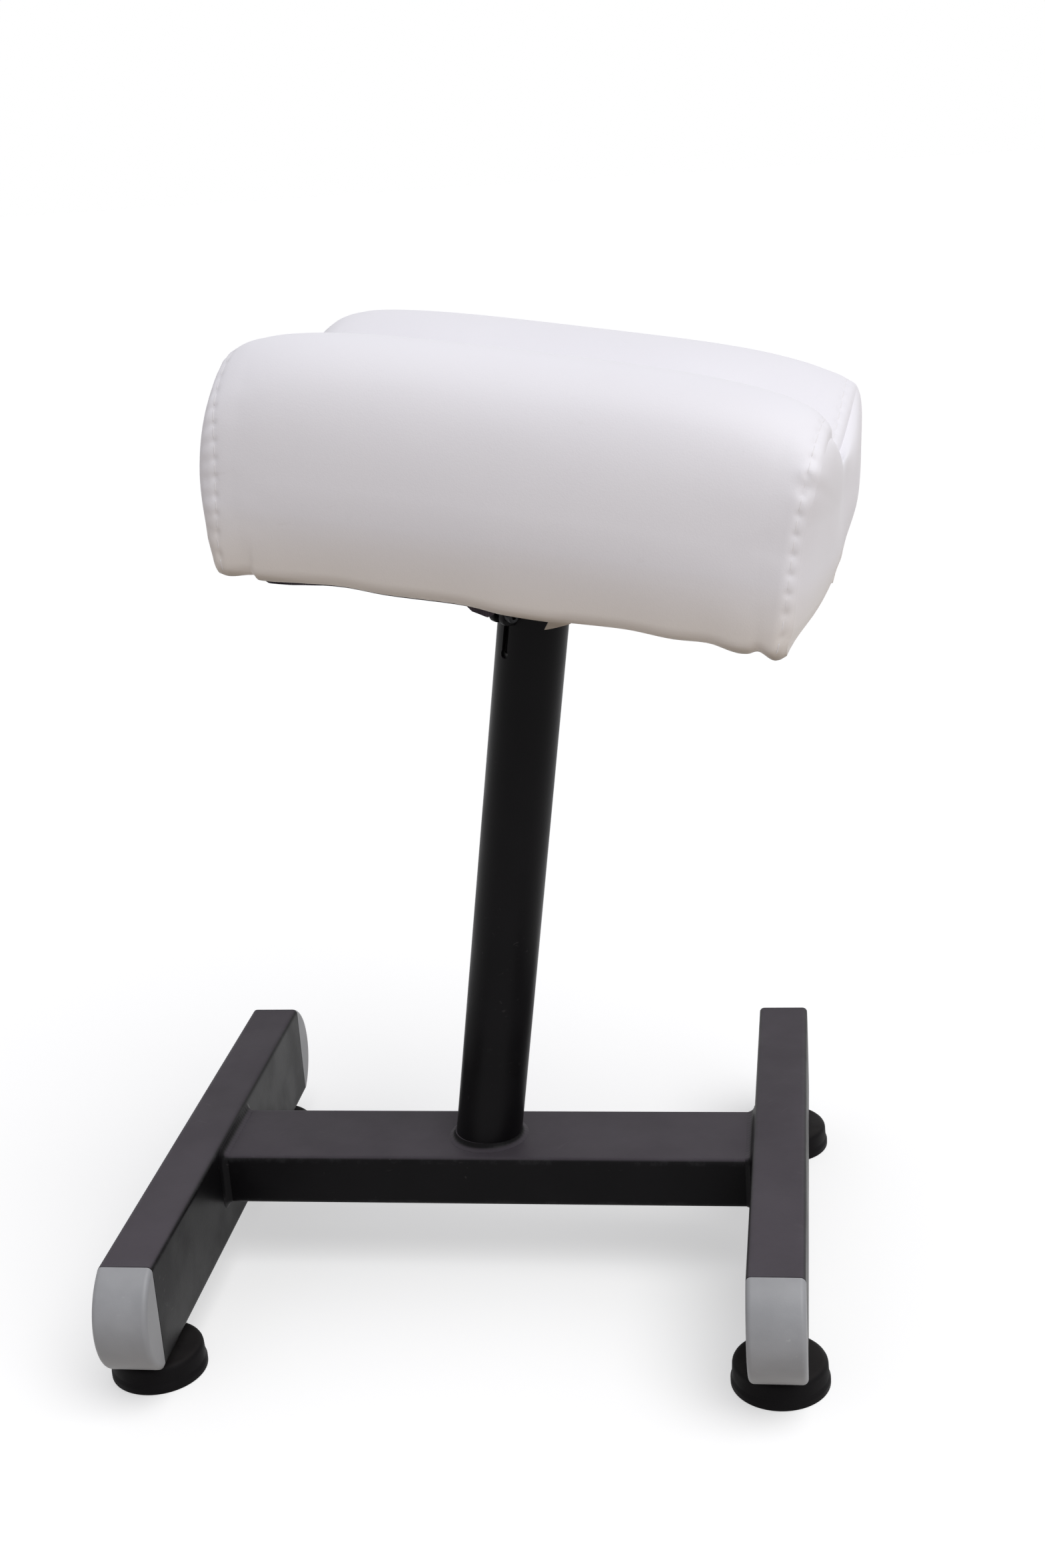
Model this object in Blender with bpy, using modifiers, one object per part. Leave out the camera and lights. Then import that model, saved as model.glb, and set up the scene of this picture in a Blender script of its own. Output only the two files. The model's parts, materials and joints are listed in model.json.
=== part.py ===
"""A pedicure footrest: a welded tube base on levelling feet, a leaning post with a split clamp, and a
two-ridged cushion on a stem that slides and turns in the post. Metres, +Z up, the front towards -Y."""

from math import atan2, cos, pi, radians, sin, sqrt

import bmesh
import bpy
from mathutils import Matrix, Vector
from mathutils.geometry import interpolate_bezier

# Fits
GAP = 0.0003                     # between pieces that touch
MERGE = 0.00001                  # points closer than this are one

# Base: rectangular tube, legs on edge, crossbar laid flat
TUBE_HEIGHT = 0.060
TUBE_WIDTH = 0.030
TUBE_WALL = 0.002
TUBE_CORNER = 0.003
TUBE_INNER_CORNER = 0.001
LEG_LENGTH = 0.314
LEG_SPACING = 0.306              # clear distance between the legs
BAR_DROP = 0.0064                # crossbar's top below the legs' top
WELD_LEG = 0.0038                # how far a bead spreads from its corner
WELD_TOE = 0.0010                # thickness of a bead at its edges
BASE_SHIFT = -0.01316            # base centre from the middle of the whole object, along X

# End caps
CAP_BULGE = 0.0200               # dome at half height, beyond the tube's end
CAP_FLAT = 0.0030                # flat under the dome
CAP_EDGE = 0.0012
SPIGOT_CLEARANCE = 0.0023        # spigot's end from the thread insert
CAP_WALL = 0.002

# Levelling feet
FOOT_INSET = 0.0295              # foot's axis from the leg's end
FOOT_TRAVEL = 0.012
PAD_HEIGHT = 0.0149
PAD_RADIUS = 0.0252
PAD_LIP_RADIUS = 0.0260
PAD_LIP_HEIGHT = 0.0035
PAD_EDGE = 0.003
STUD_RADIUS = 0.005
PAD_FLOOR = 0.0054               # rubber under the stud
STUD_CHAMFER = 0.001
FOOT_NUT_FLATS = 0.016
LOCK_NUT_HEIGHT = 0.0056
INSERT_HEIGHT = 0.010

# Post
POST_RADIUS = 0.019
POST_WALL = 0.0015
POST_LENGTH = 0.3259             # crossbar to rim, along the post
POST_LEAN = radians(8.6)         # towards +X
SLIT_WIDTH = 0.004
SLIT_LENGTH = 0.0334             # rim to the relief hole's centre
RELIEF_RADIUS = 0.0026
SLIT_AZIMUTH = radians(229)      # round the post, from +X

# Bush in the post's mouth
BUSH_LENGTH = 0.040
BUSH_WALL = 0.0019
BUSH_FLANGE = 0.0015
BUSH_FLANGE_INSET = 0.0004       # flange inside the post's outer face

# Clamp: a lug on each side of the slit, and a screw across them
LUG_THICKNESS = 0.004
LUG_HEIGHT = 0.0125
LUG_MARGIN = 0.0013              # beyond the screw's hole
LUG_BELOW_RIM = 0.0039
LUG_EDGE = 0.0015
CLAMP_SCREW_RADIUS = 0.002
CLAMP_SCREW_CHAMFER = 0.0005
CLAMP_HEAD_RADIUS = 0.0035
CLAMP_HEAD_HEIGHT = 0.004
CLAMP_SOCKET_FLATS = 0.003
CLAMP_SOCKET_DEPTH = 0.002
CLAMP_NUT_FLATS = 0.007
CLAMP_NUT_HEIGHT = 0.0032
CLAMP_SCREW_TAIL = 0.0015        # beyond the nut

# Stem and plate
STEM_WALL = 0.002
STEM_FLOOR = 0.1313              # plug over the crossbar, along the post; its rise ends at the bush
STEM_WELD_LEG = 0.0028
HEAD_TURN = radians(-8)          # cushion's turn about the post
PLUG_LENGTH = 0.018
PLUG_FLANGE = 0.004
PLATE_SIDE = 0.120
PLATE_THICKNESS = 0.004
PLATE_CORNER = 0.010
SCREW_INSET = 0.012              # screw's axis from the plate's edge
SCREW_RADIUS = 0.003
SCREW_HEAD_RADIUS = 0.0055
SCREW_HEAD_FACE = 0.0044         # radius of its flat end
SCREW_HEAD_HEIGHT = 0.0034
TEE_WALL = 0.0007
TEE_SHORT = 0.0012               # barrel's end over the board's underside
TEE_FLANGE_RADIUS = 0.009
TEE_FLANGE = 0.0015

# Cushion: sizes of the vinyl's outside
CUSHION_LENGTH = 0.284           # seam to seam
CUSHION_DEPTH = 0.184            # at the bottom edge
CUSHION_HEIGHT = 0.1205          # bottom edge to the ridges
SHOULDER_DROP = 0.0205           # where the walls turn in, below the ridges
RIDGE_SPACING = 0.123
CHANNEL_DEPTH = 0.024
WALL_SWELL = 0.0085              # walls beyond the bottom edge, at half their height
END_WALL_SWELL = 0.0042          # the same at the seams
END_DROP = 0.0145                # ridges fall by this much at the seams
CROWN_POWER = 5                  # how late along the length they fall
END_BOW = 0.0055                 # seams beyond straight, at half height
END_SWELL = 0.006                # end panels beyond their seams
VINYL = 0.001
HEM = 0.018                      # wrap turned in under the board
LINING = 0.0007
LINING_EDGE = 0.010              # lining inside the bottom edge
BOARD_THICKNESS = 0.012
BOARD_INSET = 0.004              # board inside the vinyl
BOARD_CORNER = 0.012

# Facets
ROUND_STEPS = 40
PAD_STEPS = 32
SMALL_STEPS = 20
CAP_STEPS = 14
CORNER_STEPS = 4
SECTION_SPAN = 4                 # facets between two points of the cushion's section
LENGTH_SPANS = 12                # facets along the cushion
RING_SHARES = (1.0, 0.8, 0.5)    # rings of the cushion's ends, as shares of their outline
SHARP_ANGLE = radians(35)

# Levels and places that follow
LEG_BOTTOM = PAD_HEIGHT + LOCK_NUT_HEIGHT + 2 * GAP
LEG_X = (LEG_SPACING + TUBE_WIDTH) / 2
BAR_TOP = LEG_BOTTOM + TUBE_HEIGHT - BAR_DROP
FOOT_Y = LEG_LENGTH / 2 - FOOT_INSET
STUD_HOLE = STUD_RADIUS + GAP
INSERT_BOTTOM = LEG_BOTTOM + TUBE_WALL + GAP
INSERT_TOP = INSERT_BOTTOM + INSERT_HEIGHT
CAP_SPIGOT = FOOT_INSET - FOOT_NUT_FLATS / sqrt(3) - SPIGOT_CLEARANCE
POST_BORE = POST_RADIUS - POST_WALL
STEM_RADIUS = POST_BORE - BUSH_WALL - 2 * GAP
LUG_TOP = POST_LENGTH - LUG_BELOW_RIM
CLAMP_HOLE = CLAMP_SCREW_RADIUS + GAP
CLAMP_SCREW_PLACE = POST_RADIUS + CLAMP_NUT_FLATS / sqrt(3) + GAP
LUG_END = CLAMP_SCREW_PLACE + CLAMP_HOLE + LUG_MARGIN
BUSH_TOP = POST_LENGTH + GAP + BUSH_FLANGE
STEM_TOP = BUSH_TOP + GAP + STEM_WELD_LEG
STEM_BOTTOM = STEM_FLOOR + PLUG_FLANGE + GAP
PLATE_BOTTOM = STEM_TOP + GAP
LINING_BOTTOM = PLATE_BOTTOM + PLATE_THICKNESS + GAP
CUSHION_BOTTOM = LINING_BOTTOM + LINING + GAP
BOARD_BOTTOM = CUSHION_BOTTOM + VINYL + GAP
BOARD_TOP = BOARD_BOTTOM + BOARD_THICKNESS
SCREW_HOLE = SCREW_RADIUS + GAP
TEE_BARREL_RADIUS = SCREW_HOLE + TEE_WALL
SHOULDER_HEIGHT = CUSHION_HEIGHT - SHOULDER_DROP

SIDES = {"left": -1, "right": 1}
ENDS = {"front": -1, "rear": 1}


def finish(name, colour, roughness, metallic=0.0):
    """A plain Principled material."""
    material = bpy.data.materials.new(name)
    material.use_nodes = True
    shader = material.node_tree.nodes["Principled BSDF"]
    shader.inputs["Base Color"].default_value = (*colour, 1.0)
    shader.inputs["Roughness"].default_value = roughness
    shader.inputs["Metallic"].default_value = metallic
    return material


for old in list(bpy.data.objects):
    bpy.data.objects.remove(old)

PARTS = bpy.data.collections.new("pedicure_footrest")
CUTTERS = bpy.data.collections.new("cutters")
bpy.context.scene.collection.children.link(PARTS)
bpy.context.scene.collection.children.link(CUTTERS)

BLACK_PAINT = finish("black_paint", (0.016, 0.015, 0.018), 0.42)
GREY_PLASTIC = finish("grey_plastic", (0.40, 0.41, 0.42), 0.5)
BLACK_RUBBER = finish("black_rubber", (0.018, 0.016, 0.018), 0.7)
BLACK_PLASTIC = finish("black_plastic", (0.02, 0.02, 0.02), 0.5)
ZINC = finish("zinc", (0.62, 0.62, 0.60), 0.35, 1.0)
PLYWOOD = finish("plywood", (0.55, 0.40, 0.24), 0.7)
FOAM = finish("foam", (0.80, 0.76, 0.60), 0.95)
WHITE_VINYL = finish("white_vinyl", (0.86, 0.85, 0.86), 0.38)
LINING_CLOTH = finish("lining_cloth", (0.10, 0.09, 0.085), 0.9)


def frame(name, parent=None, location=(0, 0, 0), turn=(0, 0, 0)):
    """An empty that carries pieces."""
    empty = bpy.data.objects.new(name, None)
    empty.parent = parent
    empty.location = location
    empty.rotation_euler = turn
    PARTS.objects.link(empty)
    return empty


def place(name, mesh, parent, material=None, location=(0, 0, 0), turn=(0, 0, 0)):
    """A piece, or a cutter where there is no material."""
    obj = bpy.data.objects.new(name, mesh)
    obj.parent = parent
    obj.location = location
    obj.rotation_euler = turn
    if material:
        mesh.materials.append(material)
        PARTS.objects.link(obj)
    else:
        obj.hide_render = True
        obj.display_type = "WIRE"
        CUTTERS.objects.link(obj)
    return obj


def mesh_of(name, bm):
    mesh = bpy.data.meshes.new(name)
    bm.to_mesh(mesh)
    bm.free()
    mesh.shade_smooth()
    mesh.set_sharp_from_angle(angle=SHARP_ANGLE)
    return mesh


def block(name, low, high):
    """A box between two corners."""
    bm = bmesh.new()
    bmesh.ops.create_cube(bm, size=1)
    size = Vector(high) - Vector(low)
    middle = (Vector(high) + Vector(low)) / 2
    bmesh.ops.scale(bm, vec=size, verts=bm.verts)
    bmesh.ops.translate(bm, vec=middle, verts=bm.verts)
    return mesh_of(name, bm)


def cone(name, low_radius, high_radius, low, high, steps=SMALL_STEPS):
    """A cylinder, cone or hexagon along Z."""
    bm = bmesh.new()
    bmesh.ops.create_cone(
        bm, cap_ends=True, segments=steps, radius1=low_radius, radius2=high_radius, depth=high - low
    )
    bmesh.ops.translate(bm, vec=(0, 0, (low + high) / 2), verts=bm.verts)
    return mesh_of(name, bm)


def rod(name, radius, low, high, steps=SMALL_STEPS):
    return cone(name, radius, radius, low, high, steps)


def hexagon(name, flats, low, high):
    return rod(name, flats / sqrt(3), low, high, 6)


def prism(name, outlines, length):
    """A solid along Z, centred, from a closed outline and any holes in it."""
    curve = bpy.data.curves.new(name, "CURVE")
    curve.dimensions = "2D"
    curve.fill_mode = "BOTH"
    curve.extrude = length / 2
    for outline in outlines:
        spline = curve.splines.new("POLY")
        spline.points.add(len(outline) - 1)
        for point, (x, y) in zip(spline.points, outline):
            point.co = (x, y, 0, 1)
        spline.use_cyclic_u = True
    guide = bpy.data.objects.new(name, curve)
    CUTTERS.objects.link(guide)
    graph = bpy.context.evaluated_depsgraph_get()
    solid = bpy.data.meshes.new_from_object(guide.evaluated_get(graph))
    bpy.data.objects.remove(guide)
    bm = bmesh.new()
    bm.from_mesh(solid)
    bmesh.ops.remove_doubles(bm, verts=bm.verts, dist=MERGE)
    return mesh_of(name, bm)


def rounded(width, height, corner):
    """Points of a rectangle with round corners."""
    points = []
    for quarter in range(4):
        middle = pi / 4 + quarter * pi / 2
        x = (width / 2 - corner) * (1 if cos(middle) > 0 else -1)
        y = (height / 2 - corner) * (1 if sin(middle) > 0 else -1)
        for i in range(CORNER_STEPS + 1):
            angle = (quarter + i / CORNER_STEPS) * pi / 2
            points.append((x + corner * cos(angle), y + corner * sin(angle)))
    return points


def arc_through(first, middle, last, steps):
    """Points of the arc from first to last by way of middle."""
    (ax, ay), (bx, by), (cx, cy) = first, middle, last
    d = 2 * (ax * (by - cy) + bx * (cy - ay) + cx * (ay - by))
    squares = [x * x + y * y for x, y in (first, middle, last)]
    x = (squares[0] * (by - cy) + squares[1] * (cy - ay) + squares[2] * (ay - by)) / d
    y = (squares[0] * (cx - bx) + squares[1] * (ax - cx) + squares[2] * (bx - ax)) / d
    radius = sqrt((ax - x) ** 2 + (ay - y) ** 2)
    start = atan2(ay - y, ax - x)
    end = atan2(cy - y, cx - x)
    points = []
    for i in range(steps + 1):
        angle = start + (end - start) * i / steps
        points.append((x + radius * cos(angle), y + radius * sin(angle)))
    return points


def turned(name, profile, parent, material=None, closed=False, steps=ROUND_STEPS, **where):
    """A profile of (radius, height), down its outer side, turned about Z."""
    count = len(profile)
    edges = [(i, (i + 1) % count) for i in range(count if closed else count - 1)]
    mesh = bpy.data.meshes.new(name)
    mesh.from_pydata([(radius, 0, height) for radius, height in profile], edges, [])
    obj = place(name, mesh, parent, material, **where)
    screw = obj.modifiers.new("turn", "SCREW")
    screw.steps = steps
    screw.render_steps = steps
    screw.use_merge_vertices = True
    screw.merge_threshold = MERGE
    screw.use_smooth_shade = True
    return obj


def sleeve(name, inner, outer, low, high, parent, material):
    """A plain ring or tube about Z."""
    profile = [(outer, high), (outer, low), (inner, low), (inner, high)]
    return turned(name, profile, parent, material, closed=True)


def boolean(obj, other, operation="DIFFERENCE"):
    cut = obj.modifiers.new(operation.lower(), "BOOLEAN")
    cut.operation = operation
    cut.object = other


def bevel(obj, width, segments=2):
    edge = obj.modifiers.new("edges", "BEVEL")
    edge.width = width
    edge.segments = segments
    edge.limit_method = "ANGLE"


def tube(name, length):
    """The base's rectangular tube, along Z."""
    inside = rounded(TUBE_WIDTH - 2 * TUBE_WALL, TUBE_HEIGHT - 2 * TUBE_WALL, TUBE_INNER_CORNER)
    return prism(name, [rounded(TUBE_WIDTH, TUBE_HEIGHT, TUBE_CORNER), inside], length)


def leg(side, base, feet):
    """One leg: a tube along Y with two stud holes in its lower wall."""
    mesh = tube(f"{side}_leg", LEG_LENGTH)
    at = (SIDES[side] * LEG_X, 0, LEG_BOTTOM + TUBE_HEIGHT / 2)
    obj = place(f"{side}_leg", mesh, base, BLACK_PAINT, at, (pi / 2, 0, 0))
    for end, foot in feet.items():
        hole = rod(f"{side}_{end}_stud_hole", STUD_HOLE, LEG_BOTTOM - TUBE_WALL, LEG_BOTTOM + 2 * TUBE_WALL)
        boolean(obj, place(f"{side}_{end}_stud_hole", hole, foot))


def crossbar(base):
    """The tube between the legs, on its flat."""
    mesh = tube("crossbar", LEG_SPACING - 2 * GAP)
    place("crossbar", mesh, base, BLACK_PAINT, (0, 0, BAR_TOP - TUBE_WIDTH / 2), (0, pi / 2, 0))


def bar_weld(side, base):
    """A bead round the crossbar's end, against the leg."""
    bm = bmesh.new()
    bmesh.ops.create_cube(bm, size=1)
    for vert in bm.verts:
        spread = WELD_LEG if vert.co.z > 0 else WELD_TOE
        vert.co.x *= TUBE_WIDTH + 2 * spread
        vert.co.y *= TUBE_HEIGHT + 2 * spread
        vert.co.z *= WELD_LEG
    at = (SIDES[side] * (LEG_SPACING / 2 - GAP - WELD_LEG / 2), 0, BAR_TOP - TUBE_WIDTH / 2)
    turn = (0, SIDES[side] * pi / 2, 0)
    obj = place(f"{side}_weld", mesh_of(f"{side}_weld", bm), base, BLACK_PAINT, at, turn)
    bevel(obj, TUBE_CORNER)
    clear = rounded(TUBE_WIDTH + 2 * GAP, TUBE_HEIGHT + 2 * GAP, TUBE_CORNER + GAP)
    bore = prism("weld_bore", [clear], 4 * WELD_LEG)
    boolean(obj, place(f"{side}_weld_bore", bore, base, None, at, turn))


def end_cap(side, end, base):
    """A domed cap with a hollow spigot in the leg's end. Its outline lies in X and Y, its width along Z."""
    half = TUBE_HEIGHT / 2
    dome = arc_through((GAP, half), (CAP_BULGE, 0), (CAP_FLAT, -half), CAP_STEPS)
    mesh = prism(f"cap_{side}_{end}", [dome + [(GAP, -half)]], TUBE_WIDTH)
    turn = Matrix(((0, 0, ENDS[end]), (ENDS[end], 0, 0), (0, 1, 0))).to_euler()
    at = (SIDES[side] * LEG_X, ENDS[end] * LEG_LENGTH / 2, LEG_BOTTOM + half)
    obj = place(f"cap_{side}_{end}", mesh, base, GREY_PLASTIC, at, turn)
    bevel(obj, CAP_EDGE)
    high = half - TUBE_WALL - GAP
    wide = TUBE_WIDTH / 2 - TUBE_WALL - GAP
    spigot = block("spigot", (-CAP_SPIGOT, -high, -wide), (CAP_FLAT / 2, high, wide))
    boolean(obj, place(f"spigot_{side}_{end}", spigot, base, None, at, turn), "UNION")
    high -= CAP_WALL
    wide -= CAP_WALL
    pocket = block("pocket", (-2 * CAP_SPIGOT, -high, -wide), (CAP_WALL, high, wide))
    boolean(obj, place(f"pocket_{side}_{end}", pocket, base, None, at, turn))


def nut(name, flats, bore, low, high, parent, **where):
    """A hexagon nut, its thread left plain."""
    obj = place(name, hexagon(name, flats, low, high), parent, ZINC, **where)
    boolean(obj, place(f"{name}_bore", rod("bore", bore, 2 * low - high, 2 * high - low), parent, **where))


def foot(side, end, base):
    """A levelling foot on its own axis: pad and stud move, lock nut and insert stay with the leg."""
    axis = frame(f"foot_axis_{side}_{end}", base, (SIDES[side] * LEG_X, ENDS[end] * FOOT_Y, 0))
    rim = []
    for i in range(CORNER_STEPS + 1):
        angle = i / CORNER_STEPS * pi / 2
        rim.append((PAD_RADIUS - PAD_EDGE * (1 - sin(angle)), PAD_HEIGHT - PAD_EDGE * (1 - cos(angle))))
    lip = [(PAD_RADIUS, PAD_LIP_HEIGHT + PAD_EDGE), (PAD_LIP_RADIUS, PAD_LIP_HEIGHT), (PAD_LIP_RADIUS, 0)]
    profile = [(0, PAD_FLOOR), (STUD_HOLE, PAD_FLOOR), (STUD_HOLE, PAD_HEIGHT), *rim, *lip, (0, 0)]
    turned(f"foot_pad_{side}_{end}", profile, axis, BLACK_RUBBER, steps=PAD_STEPS)
    top = INSERT_TOP + FOOT_TRAVEL
    tip = STUD_RADIUS - STUD_CHAMFER
    bottom = PAD_FLOOR + GAP
    stud = [(0, top), (tip, top), (STUD_RADIUS, top - STUD_CHAMFER), (STUD_RADIUS, bottom), (0, bottom)]
    turned(f"foot_stud_{side}_{end}", stud, axis, ZINC, steps=SMALL_STEPS)
    lock = LEG_BOTTOM - GAP
    nut(f"lock_nut_{side}_{end}", FOOT_NUT_FLATS, STUD_HOLE, lock - LOCK_NUT_HEIGHT, lock, axis)
    nut(f"thread_insert_{side}_{end}", FOOT_NUT_FLATS, STUD_HOLE, INSERT_BOTTOM, INSERT_TOP, axis)
    return axis


def post(base, axis):
    """The leaning tube, cut flat where it stands on the crossbar, with its slit and bead."""
    obj = sleeve("post", POST_BORE, POST_RADIUS, -POST_RADIUS, POST_LENGTH, axis, BLACK_PAINT)
    reach = 3 * POST_RADIUS
    floor = block("bar_face", (-reach, -reach, BAR_TOP - reach), (reach, reach, BAR_TOP + GAP))
    boolean(obj, place("bar_face", floor, base))
    slit_low = POST_LENGTH - SLIT_LENGTH
    slit_mesh = block("post_slit", (0, -SLIT_WIDTH / 2, slit_low), (reach, SLIT_WIDTH / 2, 2 * POST_LENGTH))
    slit = place("post_slit", slit_mesh, axis, turn=(0, 0, SLIT_AZIMUTH))
    boolean(obj, slit)
    relief = rod("relief_hole", RELIEF_RADIUS, 0, reach)
    relief_turn = Matrix.Rotation(SLIT_AZIMUTH, 3, "Z") @ Matrix.Rotation(pi / 2, 3, "Y")
    boolean(obj, place("relief_hole", relief, axis, None, (0, 0, slit_low), relief_turn.to_euler()))

    bead_low = BAR_TOP + GAP
    spread = POST_RADIUS / cos(POST_LEAN)
    lean = WELD_LEG * sin(POST_LEAN)
    bead = cone(
        "post_weld", spread + WELD_LEG, spread + lean + WELD_TOE, bead_low, bead_low + WELD_LEG, ROUND_STEPS
    )
    weld = place("post_weld", bead, base, BLACK_PAINT)
    around = rod("post_clearance", POST_RADIUS + GAP, -POST_RADIUS, 2 * POST_LENGTH, ROUND_STEPS)
    boolean(weld, place("post_clearance", around, axis))

    inside = STEM_RADIUS + GAP
    outside = POST_BORE - GAP
    rim = POST_LENGTH + GAP
    flange = POST_RADIUS - BUSH_FLANGE_INSET
    low = POST_LENGTH - BUSH_LENGTH
    profile = [
        (flange, BUSH_TOP), (flange, rim), (outside, rim), (outside, low), (inside, low), (inside, BUSH_TOP)
    ]
    boolean(turned("post_bush", profile, axis, BLACK_PLASTIC, closed=True), slit)


def clamp(axis):
    """The lugs welded beside the slit. Their screw runs across them, along the screw axis's Z."""
    low = LUG_TOP - LUG_HEIGHT
    near = SLIT_WIDTH / 2
    far = near + LUG_THICKNESS
    around = Matrix.Rotation(SLIT_AZIMUTH, 3, "Z")
    at = around @ Vector((CLAMP_SCREW_PLACE, 0, LUG_TOP - LUG_HEIGHT / 2))
    across = around @ Matrix.Rotation(pi / 2, 3, "X")
    screw_axis = frame("clamp_screw_axis", axis, at, across.to_euler())
    bore = place("lug_bore", rod("lug_bore", CLAMP_HOLE, -2 * far, 2 * far), screw_axis)
    for name, sign in SIDES.items():
        half = LUG_THICKNESS / 2
        mesh = block(f"clamp_lug_{name}", (0, -half, low), (LUG_END, half, LUG_TOP))
        beside = around @ Vector((0, sign * (near + far) / 2, 0))
        lug = place(f"clamp_lug_{name}", mesh, axis, BLACK_PAINT, beside, (0, 0, SLIT_AZIMUTH))
        bevel(lug, LUG_EDGE)
        boolean(lug, bpy.data.objects["post_clearance"])
        boolean(lug, bore)

    seat = -far - GAP
    thread = far + GAP
    tail = thread + CLAMP_NUT_HEIGHT + CLAMP_SCREW_TAIL
    tip = CLAMP_SCREW_RADIUS - CLAMP_SCREW_CHAMFER
    head = seat - CLAMP_HEAD_HEIGHT
    profile = [
        (0, tail), (tip, tail), (CLAMP_SCREW_RADIUS, tail - CLAMP_SCREW_CHAMFER),
        (CLAMP_SCREW_RADIUS, seat), (CLAMP_HEAD_RADIUS, seat), (CLAMP_HEAD_RADIUS, head), (0, head)
    ]
    screw = turned("clamp_screw", profile, screw_axis, ZINC, steps=SMALL_STEPS)
    socket = hexagon("socket", CLAMP_SOCKET_FLATS, head - CLAMP_SOCKET_DEPTH, head + CLAMP_SOCKET_DEPTH)
    boolean(screw, place("clamp_socket", socket, screw_axis))
    nut("clamp_nut", CLAMP_NUT_FLATS, CLAMP_HOLE, thread, thread + CLAMP_NUT_HEIGHT, screw_axis)


def stem(glide, head):
    """The tube that turns, with its bead under the plate, and the plug that slides below it."""
    inner = STEM_RADIUS - STEM_WALL
    sleeve("stem", inner, STEM_RADIUS, STEM_BOTTOM, STEM_TOP, head, BLACK_PAINT)
    inside = STEM_RADIUS + GAP
    low = STEM_TOP - STEM_WELD_LEG
    bead = [
        (inside + STEM_WELD_LEG, STEM_TOP), (inside + WELD_TOE, low), (inside, low), (inside, STEM_TOP)
    ]
    turned("stem_weld", bead, head, BLACK_PAINT, closed=True)

    slide = POST_BORE - GAP
    plug = inner - GAP
    shelf = STEM_BOTTOM - GAP
    profile = [
        (0, shelf + PLUG_LENGTH), (plug, shelf + PLUG_LENGTH), (plug, shelf), (slide, shelf),
        (slide, shelf - PLUG_FLANGE), (0, shelf - PLUG_FLANGE)
    ]
    turned("stem_plug", profile, glide, BLACK_PLASTIC)


def corners():
    """The four places of the plate's screws, numbered round the plate."""
    half = PLATE_SIDE / 2 - SCREW_INSET
    return enumerate([(-half, -half), (half, -half), (half, half), (-half, half)], start=1)


def drill(obj, radius, low, high, head, x, y):
    """A round hole through a plate, at one screw."""
    hole = rod(f"{obj.name}_hole", radius, low, high)
    boolean(obj, place(f"{obj.name}_hole", hole, head, None, (x, y, 0)))


def flat_sheet(name, width, depth, corner, low, high, head, material):
    mesh = prism(name, [rounded(width, depth, corner)], high - low)
    return place(name, mesh, head, material, (0, 0, (low + high) / 2))


def board_and_plate(head):
    """The mounting plate, the lining, the board, and the screws and tee nuts that join them."""
    plate_top = PLATE_BOTTOM + PLATE_THICKNESS
    plate = flat_sheet(
        "mounting_plate", PLATE_SIDE, PLATE_SIDE, PLATE_CORNER, PLATE_BOTTOM, plate_top, head, BLACK_PAINT
    )
    lining = flat_sheet(
        "underside_lining", CUSHION_LENGTH - 2 * LINING_EDGE, CUSHION_DEPTH - 2 * LINING_EDGE, BOARD_CORNER,
        LINING_BOTTOM, LINING_BOTTOM + LINING, head, LINING_CLOTH
    )
    inset = VINYL + BOARD_INSET
    board = flat_sheet(
        "seat_board", CUSHION_LENGTH - 2 * inset, CUSHION_DEPTH - 2 * inset, BOARD_CORNER, BOARD_BOTTOM,
        BOARD_TOP, head, PLYWOOD
    )
    seat = BOARD_TOP - GAP - TEE_FLANGE
    recess = seat - GAP
    barrel_low = BOARD_BOTTOM + TEE_SHORT
    tail = BOARD_TOP - GAP
    under = PLATE_BOTTOM - GAP
    for number, (x, y) in corners():
        drill(plate, SCREW_HOLE, PLATE_BOTTOM - GAP, plate_top + GAP, head, x, y)
        drill(lining, SCREW_HOLE, LINING_BOTTOM - GAP, LINING_BOTTOM + LINING + GAP, head, x, y)
        drill(board, TEE_BARREL_RADIUS + GAP, BOARD_BOTTOM - GAP, BOARD_TOP + GAP, head, x, y)
        drill(board, TEE_FLANGE_RADIUS + GAP, recess, BOARD_TOP + GAP, head, x, y)
        screw = [
            (0, tail), (SCREW_RADIUS, tail), (SCREW_RADIUS, under), (SCREW_HEAD_RADIUS, under),
            (SCREW_HEAD_FACE, under - SCREW_HEAD_HEIGHT), (0, under - SCREW_HEAD_HEIGHT)
        ]
        turned(f"plate_screw_{number}", screw, head, ZINC, steps=SMALL_STEPS, location=(x, y, 0))
        tee = [
            (TEE_FLANGE_RADIUS, tail), (TEE_FLANGE_RADIUS, seat), (TEE_BARREL_RADIUS, seat),
            (TEE_BARREL_RADIUS, barrel_low), (SCREW_HOLE, barrel_low), (SCREW_HOLE, tail)
        ]
        turned(f"tee_nut_{number}", tee, head, ZINC, closed=True, steps=SMALL_STEPS, location=(x, y, 0))


def smooth_line(points, spans):
    """A curve through the points, with the tangent at each taken from its neighbours."""
    line = []
    for i in range(len(points) - 1):
        before = points[max(i - 1, 0)]
        start, end = points[i], points[i + 1]
        after = points[min(i + 2, len(points) - 1)]
        reach = (end - start).length / 3
        leave = start + (end - before).normalized() * reach
        arrive = end - (after - start).normalized() * reach
        line += interpolate_bezier(start, leave, arrive, end, spans + 1)[:-1]
    return line + [points[-1]]


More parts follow.
